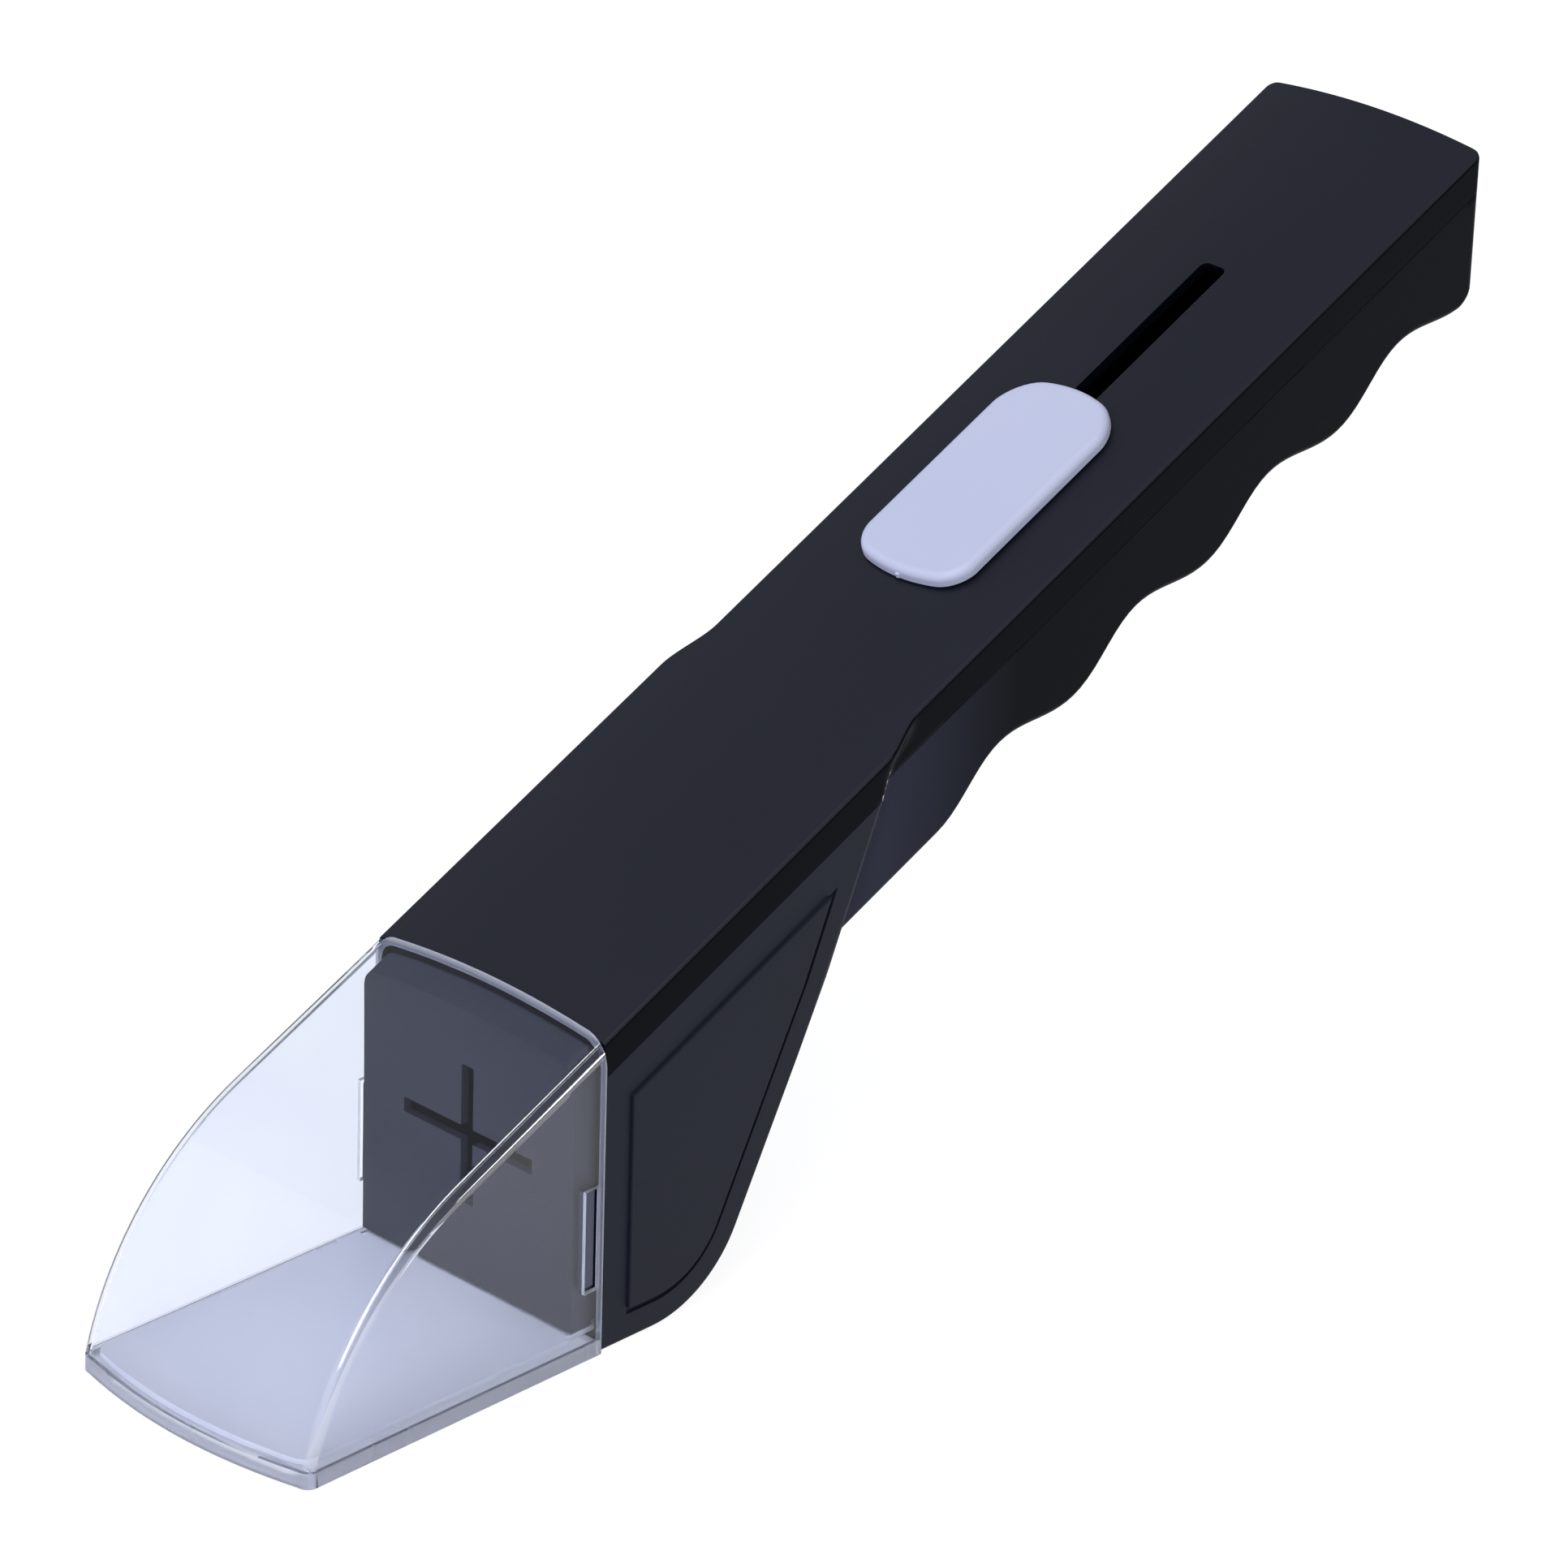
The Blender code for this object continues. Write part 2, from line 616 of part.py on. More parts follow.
def bulkhead(build):
    base = DOOR_TOP + GUIDE_GAP
    spigot = HOOD_WALL + GAP
    plug = WALL + GAP
    rings = [bulkhead_ring(-SPIGOT_LENGTH, spigot, base), bulkhead_ring(-GAP, spigot, base)]
    rings += [bulkhead_ring(d, plug, base + GAP) for d in (-GAP, PLUG_LENGTH)]
    wall = build.part("bulkhead", loft(rings), build.grey, build.root)
    hollow = plug + PLATE_WALL
    places = (PLATE_WALL - SPIGOT_LENGTH, PLUG_LENGTH + GAP)
    inside = loft([bulkhead_ring(d, hollow, base + PLATE_WALL) for d in places])
    build.cut(wall, "bulkhead_inside", inside, build.root)
    for name, width, height in (("across", VENT_WIDTH, VENT_SLOT), ("upright", VENT_SLOT, VENT_HEIGHT)):
        low = (-width / 2, -2 * SPIGOT_LENGTH, VENT_CENTRE - height / 2)
        high = (width / 2, 0, VENT_CENTRE + height / 2)
        build.cut(wall, f"vent_{name}", box(low, high), build.root)
    for side in (-1, 1):
        near, far = sorted((side * (HEAD_HALF - spigot - OVERLAP), side * (HEAD_HALF - GAP)))
        low = (near, -CATCH_REAR - CATCH_DEPTH, CATCH_LOW)
        catch = box(low, (far, -CATCH_REAR, CATCH_LOW + CATCH_LENGTH))
        build.join(wall, f"catch_{side}", catch, build.rim)


# Hood: a clear arched shell that is open below and behind, with a ledge for the door
def hood_rows(inset):
    """Rows of points across the hood, from the rim to the lip, on a shell moved in by inset."""
    path = nose_path(inset)
    half = HEAD_HALF - inset
    rows = []
    for i, point in enumerate(path):
        part = i / (len(path) - 1)
        radius = max(ROOF_RADIUS + (LIP_RADIUS - ROOF_RADIUS) * part - inset, 0)
        if i == 0:
            out = Vector((-math.sin(RIM_TILT), math.cos(RIM_TILT))) / math.cos(HANDLE_TILT - RIM_TILT)
        elif i == len(path) - 1:
            out = Vector((-1, 0))
        else:
            way = (path[i + 1] - path[i - 1]).normalized()
            out = Vector((way.y, -way.x))
        rise = CROWN_RISE + (NOSE_BULGE - CROWN_RISE) * part
        row = []
        for share in shares():
            x = half * share
            reach = max(abs(x) - half + radius, 0)
            fall = rise * share**2 - rise + radius - math.sqrt(max(radius**2 - reach**2, 0))
            row.append((x, *(point - out * fall)))
        rows.append(row)
    return rows, [(side * half, -GAP, 0) for side in (-1, 1)]


def hood_shell():
    """Outer and inner skins joined along the rear edge and along the mouth."""
    bm = bmesh.new()
    skins = []
    for inset in (0, HOOD_WALL):
        rows, corners = hood_rows(inset)
        grid = [[bm.verts.new(p) for p in row] for row in rows]
        left, right = (bm.verts.new(p) for p in corners)
        for row, after in zip(grid, grid[1:]):
            for a, b, c, d in zip(row, row[1:], after[1:], after):
                bm.faces.new((a, b, c, d))
            bm.faces.new((left, row[0], after[0]))
            bm.faces.new((right, after[-1], row[-1]))
        skins.append([[left] + line + [right] for line in (grid[0], grid[-1])])
    for outer, inner in zip(*skins):
        for a, b, c, d in zip(outer, outer[1:], inner[1:], inner):
            bm.faces.new((a, b, c, d))
    return bm


def hood(build):
    shell = build.part("hood", hood_shell(), build.clear, build.root)
    ledge = mouth_outline(HOOD_WALL / 2, -2 * GAP)
    build.join(shell, "ledge", prism(ledge, 0, LEDGE_HEIGHT, upright), build.root)
    opening = mouth_outline(HOOD_WALL + LEDGE_WIDTH, -SPIGOT_LENGTH)
    build.cut(shell, "mouth", prism(opening, -FAR, LEDGE_HEIGHT + GAP / 2, upright), build.root)
    for side in (-1, 1):
        near, far = sorted((side * (HEAD_HALF - 2 * HOOD_WALL), side * FAR))
        low = (near, -CATCH_REAR - CATCH_DEPTH - GAP, CATCH_LOW - GAP)
        window = box(low, (far, GAP - CATCH_REAR, CATCH_LOW + CATCH_LENGTH + GAP))
        build.cut(shell, f"window_{side}", window, build.rim)


# Trap door: one flexible sheet in two stretches, the hood's wide floor and a tail up into the grip
def strip(path, thickness):
    return shifted(path, thickness / 2) + shifted(path, -thickness / 2)[::-1]


def clamp_screw_places():
    return [(side * CLAMP_SPACING / 2, CLAMP_CENTRE) for side in (-1, 1)]


def trap_door(build):
    outline = mouth_outline(DOOR_INSET, PANEL_END)
    build.part("trap_door", prism(outline, DOOR_FLOOR, DOOR_TOP, upright), build.sheet, build.door)


def door_tail(build):
    """The narrow stretch that bends round the heel, climbs the rear wall and ends under the carriage."""
    start = Vector((PANEL_END + GAP, DOOR_MIDDLE))
    heel = crossing(start, 0, rear_wall_foot(DOOR_MIDDLE), REAR_WALL_ANGLE)
    turn = crossing(heel, REAR_WALL_ANGLE, side_point(0, TAIL_DEPTH), HANDLE_TILT)
    end = side_point(CARRIAGE_FRONT + CLAMP_LAND, TAIL_DEPTH)
    path = rounded([(start, 0), (heel, HEEL_RADIUS - DOOR_MIDDLE), (turn, TAIL_BEND), (end, 0)])
    half = TAIL_WIDTH / 2
    tail = build.part("door_tail", prism(strip(path, SHEET), -half, half, across), build.sheet, build.door)
    for i, (x, s) in enumerate(clamp_screw_places()):
        hole = post(x, s, 0, GRIP_DEPTH, SMALL_SCREW[2] + GAP)
        build.cut(tail, f"tail_hole_{i}", hole, build.handle)


def door_guide(build):
    """The curved wall inside the heel that keeps the sheet against the head's rear wall."""
    start = Vector((GUIDE_START, DOOR_MIDDLE))
    heel = crossing(start, 0, rear_wall_foot(DOOR_MIDDLE), REAR_WALL_ANGLE)
    end = crossing(heel, REAR_WALL_ANGLE, side_point(0, GUIDE_TOP), HANDLE_TILT)
    path = rounded([(start, 0), (heel, HEEL_RADIUS - DOOR_MIDDLE), (end, 0)])
    path = shifted(path, SHEET / 2 + GUIDE_GAP + GUIDE_WALL / 2)
    half = HEAD_HALF - WALL - GAP
    build.part("door_guide", prism(strip(path, GUIDE_WALL), -half, half, across), build.grey, build.root)


# Thumb button, the carriage under the cover, and the clamp that holds the sheet's tail
def thumb_button(build):
    under = -CROWN_RISE - GAP
    outline = rounded_rectangle(BUTTON_FRONT, BUTTON_LENGTH, BUTTON_WIDTH, BUTTON_CORNER)
    bm = prism(outline, under, under - BUTTON_HEIGHT, grip_plan)
    top = [e for e in bm.edges if all(v.co.z > -under + BUTTON_HEIGHT / 2 for v in e.verts)]
    bmesh.ops.bevel(bm, geom=top, offset=BUTTON_EDGE, segments=EDGE_STEPS, profile=0.5, affect="EDGES")
    button = build.part("thumb_button", bm, build.white, build.slider)
    stem = rounded_rectangle(STEM_FRONT, STEM_LENGTH, SLOT_WIDTH - 2 * GAP, SLOT_CORNER - GAP)
    stem = prism(stem, under - OVERLAP, CARRIAGE_TOP - GAP, grip_plan)
    build.join(button, "button_stem", stem, build.slider)
    pilot = post(0, STEM_MIDDLE, under + GAP, FAR, SMALL_SCREW[2] + GAP)
    build.cut(button, "stem_pilot", pilot, build.slider)


def carriage(build):
    rear = CARRIAGE_FRONT + CARRIAGE_LENGTH
    land = CARRIAGE_FRONT + CLAMP_LAND
    outline = [(CARRIAGE_FRONT, CARRIAGE_TOP), (rear, CARRIAGE_TOP), (rear, CARRIAGE_UNDER)]
    outline += [(land, CARRIAGE_UNDER), (land, LAND_UNDER), (CARRIAGE_FRONT, LAND_UNDER)]
    half = CARRIAGE_WIDTH / 2
    block = build.part("carriage", prism(outline, -half, half, grip_side), build.white, build.slider)
    hole = post(0, STEM_MIDDLE, 0, FAR, SMALL_SCREW[2] + GAP)
    build.cut(block, "carriage_hole", hole, build.slider)
    for i, (x, s) in enumerate(clamp_screw_places()):
        pilot = post(x, s, CARRIAGE_TOP + OVERLAP, FAR, SMALL_SCREW[2] + GAP)
        build.cut(block, f"carriage_pilot_{i}", pilot, build.slider)


def clamp_plate(build):
    half = CARRIAGE_WIDTH / 2
    low = (-half, CARRIAGE_FRONT, -CLAMP_TOP - CLAMP_PLATE)
    plate = box(low, (half, CARRIAGE_FRONT + CLAMP_LAND, -CLAMP_TOP))
    obj = build.part("clamp_plate", plate, build.white, build.slider)
    for i, (x, s) in enumerate(clamp_screw_places()):
        hole = post(x, s, 0, FAR, SMALL_SCREW[2] + GAP)
        build.cut(obj, f"clamp_hole_{i}", hole, build.slider)


def screw(build, name, place, seat, length, size, parent):
    """A turned screw with its head below a seat at that depth and its tip up in the boss."""
    head, height, shank = size
    profile = [(0, length), (shank / 3, length), (shank, length - 2 * shank), (shank, 0), (head, 0)]
    profile += [(head, -height / 2), (head * HEAD_TAPER, -height), (0, -height)]
    bm = bmesh.new()
    points = [bm.verts.new((x, 0, z)) for x, z in profile]
    for a, b in zip(points, points[1:]):
        bm.edges.new((a, b))
    obj = build.part(name, bm, build.steel, parent)
    obj.location = (*place, -seat - GAP)
    turn = obj.modifiers.new("Turned", "SCREW")
    turn.steps = turn.render_steps = SCREW_SIDES
    turn.use_merge_vertices = True
    turn.merge_threshold = 0.00001


def screws(build):
    for i, place in enumerate(screw_places(), 1):
        screw(build, f"housing_screw_{i}", place, SCREW_SEAT, SCREW_LENGTH, HOUSING_SCREW, build.handle)
    reach = CARRIAGE_PLATE + 2 * GAP + SMALL_GRIP
    screw(build, "button_screw", (0, STEM_MIDDLE), CARRIAGE_UNDER, reach, SMALL_SCREW, build.slider)
    reach = CLAMP_PLATE + SHEET + 3 * GAP + SMALL_GRIP
    seat = CLAMP_TOP + CLAMP_PLATE
    for i, place in enumerate(clamp_screw_places(), 1):
        screw(build, f"clamp_screw_{i}", place, seat, reach, SMALL_SCREW, build.slider)


def main():
    build = Build()
    top_cover(build)
    grip_body(build)
    bulkhead(build)
    hood(build)
    trap_door(build)
    door_tail(build)
    door_guide(build)
    thumb_button(build)
    carriage(build)
    clamp_plate(build)
    screws(build)


main()
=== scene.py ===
"""Looks of the contactless bug catcher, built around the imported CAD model. Metres, +Z up."""

import math

import bpy
from mathutils import Matrix, Vector


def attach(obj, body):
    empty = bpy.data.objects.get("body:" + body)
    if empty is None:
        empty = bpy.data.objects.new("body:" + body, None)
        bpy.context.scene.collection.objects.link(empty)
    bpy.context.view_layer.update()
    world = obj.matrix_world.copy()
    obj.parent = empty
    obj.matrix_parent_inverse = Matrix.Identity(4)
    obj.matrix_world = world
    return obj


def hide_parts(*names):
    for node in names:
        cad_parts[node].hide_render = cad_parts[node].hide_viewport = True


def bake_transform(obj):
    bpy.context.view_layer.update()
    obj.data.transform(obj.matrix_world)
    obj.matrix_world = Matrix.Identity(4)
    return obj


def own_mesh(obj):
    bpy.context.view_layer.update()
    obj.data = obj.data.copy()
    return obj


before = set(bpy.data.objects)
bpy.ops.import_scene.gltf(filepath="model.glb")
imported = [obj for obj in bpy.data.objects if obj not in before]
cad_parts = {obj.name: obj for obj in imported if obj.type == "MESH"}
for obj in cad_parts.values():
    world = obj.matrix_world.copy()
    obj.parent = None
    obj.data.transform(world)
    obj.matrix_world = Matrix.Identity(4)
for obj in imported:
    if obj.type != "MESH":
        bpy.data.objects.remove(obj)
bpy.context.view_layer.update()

# Sizes of the real pieces, in metres. Most are the ones in the part's source. The hood's arc, ring and
# crease, the step, the seam and the small edges are drawn more finely here

# Head
HEAD_HALF = 0.0200
HEAD_DEPTH = 0.0200
HEAD_WALL = 0.0011
RIM_HEIGHT = 0.0438
RIM_LEAN = 0.0012
RIM_RADIUS = 0.0035
CROWN_RISE = 0.0014
ROOF_RADIUS = 0.0006
HEEL_RADIUS = 0.0165
HEEL_EDGE = 0.0005
REAR_WALL_ANGLE = math.radians(64)
WALL = 0.0016
HOUSING_EDGE = 0.00006

# Panels on the head's sides
PANEL_INSET = 0.0047
PANEL_TOP = 0.0101
PANEL_RAISE = 0.0005
PANEL_EDGE = 0.0002
PANEL_CHANNEL = 0.0010
CHANNEL_DEPTH = 0.0004

# Step from head to grip
STEP_ANGLE = math.radians(68)
STEP_LENGTH = 0.0090
STEP_LEAD = 0.33
STEP_LIP = 0.0002
STEP_EDGE = 0.0010
SHARP_STEP = 0.0022
SHARP_DEPTH = 0.0055
EDGE_START = 0.0022
REFLECTION_FADE_LENGTH = 0.0240

# Grip and its cover
HANDLE_TILT = math.radians(25)
HANDLE_LENGTH = 0.1820
GRIP_WIDTH = 0.0359
GRIP_END_WIDTH = 0.0370
GRIP_DEPTH = 0.0191
GRIP_RADIUS = 0.0010
GROOVE_DEPTH = 0.0038
GROOVE_COUNT = 4
FIRST_CREST = 0.0600
LAST_CREST = 0.1728
END_RADIUS = 0.0030
END_CORNER = 0.0012
COVER_SKIRT = 0.0046
SEAM_GAP = 0.00003

# Hood
HOOD_LENGTH = 0.0504
HOOD_HALF = 0.02045
HOOD_WALL = 0.0011
SHELL_WALL = 0.0007
CREASE_WIDTH = 0.0016
CREASE_DROP = 0.0023
NOSE_ANGLE = math.radians(76)
NOSE_RADIUS = 0.0440
NOSE_BULGE = 0.0028
LIP_HEIGHT = 0.0024
LIP_RADIUS = 0.0016
LIP_GROOVE = 0.00022
LEDGE_START = 0.0002
LEDGE_WIDTH = 0.0025
LEDGE_HEIGHT = 0.0020
RING_PROUD = 0.0004
RING_WIDTH = 0.0010
RING_GAP = 0.00002

# Bulkhead
SPIGOT_LENGTH = 0.0039
PLUG_LENGTH = 0.0060
PLATE_WALL = 0.0014
BULKHEAD_EDGE = 0.00015
VENT_HEIGHT = 0.0194
VENT_WIDTH = 0.0225
VENT_SLOT = 0.0020
VENT_CENTRE = 0.0244
CATCH_LOW = 0.0100
CATCH_LENGTH = 0.0140
CATCH_DEPTH = 0.0020
CATCH_REAR = 0.0010

# Sheet: the trap door and its tail
SHEET = 0.0008
SHEET_EDGE = 0.00012
TAIL_WIDTH = 0.0149
TAIL_DEPTH = 0.0065
TAIL_BEND = 0.0140
GUIDE_GAP = 0.0005
TRAVEL = 0.0470
CARRIAGE_FRONT = 0.0840
CLAMP_LAND = 0.0085

# Thumb button and its slot. An end is given by its corner's radius and its bow
BUTTON_FRONT = 0.0805
BUTTON_LENGTH = 0.0380
BUTTON_WIDTH = 0.0186
BUTTON_HEIGHT = 0.0018
BUTTON_FRONT_END = (0.0034, 0.0020)
BUTTON_REAR_END = (0.0046, 0.0026)
BUTTON_EDGE = 0.0011
STEM_FRONT = 0.0920
STEM_LENGTH = 0.0080
STEM_DEPTH = 0.0033
SLOT_WIDTH = 0.0040
SLOT_END = (0.0010, 0)
SLOT_CUT = 0.0040
GATE_ASIDE = 0.0003
GATE_BACK = 0.0001
GATE_TOP = 0.0008
GATE_FOOT = 0.0002
GATE_RADIUS = 0.0004

# Housing screws and their bosses
SCREW_SEAT = 0.0120
SCREW_HEAD = 0.0021
SCREW_HEAD_HEIGHT = 0.0016
SCREW_HEAD_EDGE = 0.0004
SCREW_SHANK = 0.0011
SCREW_LENGTH = 0.0075
SCREW_INSET = 0.0058
SHANK_SINK = 0.0004
RECESS_WIDTH = 0.00045
RECESS_LENGTH = 0.0026
RECESS_FLOOR = 0.0008
RECESS_CUT = 0.0020
BOSS_TOP = 0.0080
BOSS_RADIUS = 0.0030
HOLE_TOP = 0.0010

# Clearance between pieces, overlap of what is joined, reach of a cutter, distance of doubles
GAP = 0.0003
OVERLAP = 0.0006
FAR = 0.0600
DOUBLES = 1e-6

# Steps of the meshes along a piece and round an arc
COVER_STEP = 0.0060
COVER_FINE_STEP = 0.0003
GRIP_STEP = 0.0008
GRIP_END_STEP = 0.0004
HOOD_STEP = 0.0025
TAIL_STEP = 0.0010
ARC_STEP = math.radians(4)
NOSE_STEP = math.radians(2)

# Counts of faces across a roof, down a side, round a corner or a pin, and on a softened edge
ROOF_PARTS = 16
ROOF_CORNER_PARTS = 8
SKIRT_PARTS = 6
COVER_END_PARTS = 8
GRIP_SIDE_PARTS = 8
GRIP_CORNER_PARTS = 10
GROOVE_PARTS = 20
CREASE_PARTS = 12
SIDE_PARTS = 6
MOUTH_PARTS = 20
PAD_END_PARTS = 10
POST_SIDES = 32
GATE_SIDES = 16
SCREW_HEAD_SIDES = 40
EDGE_PARTS = 2
SOFT_EDGE_PARTS = 3
ROUND_EDGE_PARTS = 6
EDGE_ANGLE = math.radians(50)
# Rounds in which the grip's leaning section finds its depth
DEPTH_ROUNDS = 6

# How far normals lean, as shares of 1, on the step's round edge (its painted highlight), the cover's roof
# (its sideways faces get the painted shade) and the hood's crease (its painted dark tint)
EDGE_SIDEWARD = 0.6
EDGE_REARWARD = 0.07
ROOF_UPWARD = 0.6
CREASE_SIDEWARD = (0.3, 0.99)
SMOOTH_ANGLE = math.radians(32)

RIM_TILT = math.atan2(RIM_LEAN, RIM_HEIGHT)
SECTION_LEAN = math.tan(HANDLE_TILT - RIM_TILT)
STEP_SLOPE = 1 / math.tan(STEP_ANGLE - HANDLE_TILT)
ARCH_RADIUS = (HEAD_HALF**2 + CROWN_RISE**2) / (2 * CROWN_RISE)
GROOVE_PITCH = (LAST_CREST - FIRST_CREST) / GROOVE_COUNT
DOOR_FLOOR = LEDGE_HEIGHT + GAP
DOOR_TOP = DOOR_FLOOR + SHEET
DOOR_MIDDLE = DOOR_FLOOR + SHEET / 2
RIM_TOP = Vector((-RIM_LEAN, RIM_HEIGHT))
ALONG = Vector((math.cos(HANDLE_TILT), math.sin(HANDLE_TILT)))
DOWN = Vector((math.sin(HANDLE_TILT), -math.cos(HANDLE_TILT)))
UP = Vector((0, *-DOWN))
SEAM = COVER_SKIRT + SEAM_GAP
# From the rim to the middle of the whole length, where the model has y = 0
MOUTH_BACK = 0.0555143


# Outlines in the side view (y, z), with y from the rim, s along the grip's top edge and n below it
def side_point(s, n):
    return RIM_TOP + ALONG * s + DOWN * n


def placed(x, y, z):
    """A point of the catcher, given from the rim, in the model's frame."""
    return Vector((x, y - MOUTH_BACK, z))


def on_grip(x, s, n):
    return placed(x, *side_point(s, n))


def crossing(point, angle, other, other_angle):
    way = Vector((math.cos(angle), math.sin(angle)))
    across = Vector((-math.sin(other_angle), math.cos(other_angle)))
    return point + way * ((other - point).dot(across) / way.dot(across))


def rounded(corners, step):
    """A path through the corners (point, radius), with an arc at each inner one."""
    path = [corners[0][0]]
    for (before, _), (corner, radius), (after, _) in zip(corners, corners[1:], corners[2:]):
        back = (before - corner).normalized()
        ahead = (after - corner).normalized()
        turn = math.pi - back.angle(ahead)
        if radius == 0:
            path.append(corner)
            continue
        start = corner + back * (radius * math.tan(turn / 2))
        centre = corner + (back + ahead).normalized() * (radius / math.cos(turn / 2))
        side = math.copysign(1, back.cross(ahead))
        count = max(2, math.ceil(turn / step))
        for i in range(count + 1):
            path.append(centre + Matrix.Rotation(-side * turn * i / count, 2) @ (start - centre))
    path.append(corners[-1][0])
    return path


def shares(count):
    """Places from -1 to 1, closer together towards the ends."""
    return [math.sin(math.pi / 2 * i / count) for i in range(-count, count + 1)]


def span(low, high, step):
    count = max(1, math.ceil((high - low) / step))
    return [low + (high - low) * i / count for i in range(count + 1)]


def arch(x):
    return x * x / (2 * ARCH_RADIUS) - CROWN_RISE


def roof_line(half, corner, inset):
    """Points (x, depth) of an arched roof, from its middle over a round corner to its side.

    The corner has its given radius on the outside and keeps its centre on a line moved in."""
    radius = max(corner - inset, GAP / 2)
    start = half - inset - radius
    line = [(start * f, arch(start * f) + inset) for f in span(0, 1, 1 / ROOF_PARTS)]
    edge = line[-1][1] + radius
    turns = span(0, math.pi / 2, math.pi / 2 / ROOF_CORNER_PARTS)[1:]
    return line + [(start + radius * math.sin(a), edge - radius * math.cos(a)) for a in turns]


def mirrored(half):
    """A whole section from its right half, left to right."""
    return [(-x, n) for x, n in half[:0:-1]] + half


def rear_wall_foot(inset):
    return Vector((HEAD_DEPTH - inset / math.sin(REAR_WALL_ANGLE), 0))


STEP_FOOT = crossing(rear_wall_foot(0), REAR_WALL_ANGLE, side_point(0, GRIP_DEPTH), HANDLE_TILT)
STEP_TOP = crossing(STEP_FOOT, STEP_ANGLE, RIM_TOP, HANDLE_TILT)
STEP_START = (STEP_TOP - RIM_TOP).dot(ALONG)
GRIP_START = (STEP_FOOT - RIM_TOP).dot(ALONG)


def eased(share):
    share = min(max(share, 0), 1)
    return share * share * (3 - 2 * share)


def half_width(s, n, widest):
    """Half the width at a point of the side: the head's, then a step in to the grip's.

    The step is a long S at the top edge and tightens to a crease down the side."""
    place = s + n * STEP_SLOPE - STEP_START
    tight = eased(n / SHARP_DEPTH)
    step = eased(place / (STEP_LENGTH + (SHARP_STEP - STEP_LENGTH) * tight) + STEP_LEAD)
    taper = max(place, 0) / (HANDLE_LENGTH - STEP_START)
    grip = (GRIP_WIDTH + (GRIP_END_WIDTH - GRIP_WIDTH) * taper) / 2
    into = min(max(s + n * SECTION_LEAN - HANDLE_LENGTH + END_CORNER, 0), END_CORNER)
    corner = END_CORNER - math.sqrt(END_CORNER**2 - into**2)
    return widest + (grip - widest) * step - corner


def grip_depth(s):
    """Depth of the grip's underside, with one hollow for each finger."""
    if not FIRST_CREST < s < LAST_CREST:
        return GRIP_DEPTH
    wave = (1 - math.cos(2 * math.pi * (s - FIRST_CREST) / GROOVE_PITCH)) / 2
    return GRIP_DEPTH - GROOVE_DEPTH * wave


def ring_depth(s):
    depth = GRIP_DEPTH
    for _ in range(DEPTH_ROUNDS):
        depth = grip_depth(s - depth * SECTION_LEAN)
    into = min(max(s - HANDLE_LENGTH + END_RADIUS, 0), END_RADIUS)
    return depth - END_RADIUS + math.sqrt(END_RADIUS**2 - into**2)


def head_outline(inset, front, top):
    corner = Vector((front, inset))
    heel = crossing(rear_wall_foot(inset), REAR_WALL_ANGLE, corner, 0)
    bend = crossing(heel, REAR_WALL_ANGLE, side_point(0, GRIP_DEPTH - OVERLAP), HANDLE_TILT)
    crest = crossing(bend, STEP_ANGLE, side_point(0, top), HANDLE_TILT)
    rim = crossing(corner, math.pi / 2 + RIM_TILT, side_point(0, top), HANDLE_TILT)
    corners = [(corner, 0), (heel, HEEL_RADIUS - inset), (bend, 0), (crest, 0), (rim, 0)]
    return rounded(corners, ARC_STEP)


def nose_path(inset):
    """Side view of the hood's upper edge from the rim to the lip."""
    rim = crossing(Vector((-GAP, 0)), math.pi / 2 + RIM_TILT, side_point(0, inset), HANDLE_TILT)
    inward = Vector((math.sin(NOSE_ANGLE), -math.cos(NOSE_ANGLE))) * inset
    brow = crossing(rim, HANDLE_TILT, Vector((-HOOD_LENGTH, LIP_HEIGHT)) + inward, NOSE_ANGLE)
    foot = Vector((-HOOD_LENGTH + inset, 0))
    chin = crossing(brow, NOSE_ANGLE, foot, math.pi / 2)
    return rounded([(rim, 0), (brow, NOSE_RADIUS - inset), (chin, 0), (foot, 0)], NOSE_STEP)


def mouth_front(x, inset):
    reach = max(abs(x) + inset - HEAD_HALF + LIP_RADIUS, 0)
    corner = LIP_RADIUS - math.sqrt(max(LIP_RADIUS**2 - reach**2, 0))
    return -HOOD_LENGTH - NOSE_BULGE * (1 - (x / HEAD_HALF) ** 2) + inset + corner


def mouth_outline(inset, rear):
    """Plan of the hood's inside, moved in by inset, with a straight rear edge."""
    half = HEAD_HALF - inset
    front = [(half * f, mouth_front(half * f, inset)) for f in shares(MOUTH_PARTS)]
    return [(half, rear), (-half, rear)] + front


def bowed_end(width, corner, bow):
    """One end of a pad's plan (x, distance out), from its right side round to its left."""
    reach = width / 2 - corner
    turns = span(0, math.pi / 2, math.pi / 2 / PAD_END_PARTS)
    right = [(reach + corner * math.cos(a), corner * math.sin(a) - corner) for a in turns]
    middle = [(-reach * f, 0) for f in span(-1, 1, 2 / PAD_END_PARTS)[1:-1]]
    left = [(-x, out) for x, out in right[::-1]]
    return [(x, out - bow * (2 * x / width) ** 2) for x, out in right + middle + left]


def pad_plan(front, length, width, front_end, rear_end):
    """Plan outline (x, s) of a pad centred on the grip, each end with its corner and its bow."""
    rear = [(x, front + length + out) for x, out in bowed_end(width, *rear_end)]
    return rear + [(-x, front - out) for x, out in bowed_end(width, *front_end)]


# Modelling moves
def only(obj):
    bpy.ops.object.select_all(action="DESELECT")
    obj.select_set(True)
    bpy.context.view_layer.objects.active = obj


def editing(obj, *moves):
    """Runs edit-mode moves on the whole of a piece."""
    only(obj)
    bpy.ops.object.mode_set(mode="EDIT")
    bpy.ops.mesh.select_all(action="SELECT")
    for move in moves:
        move()
    bpy.ops.object.mode_set(mode="OBJECT")


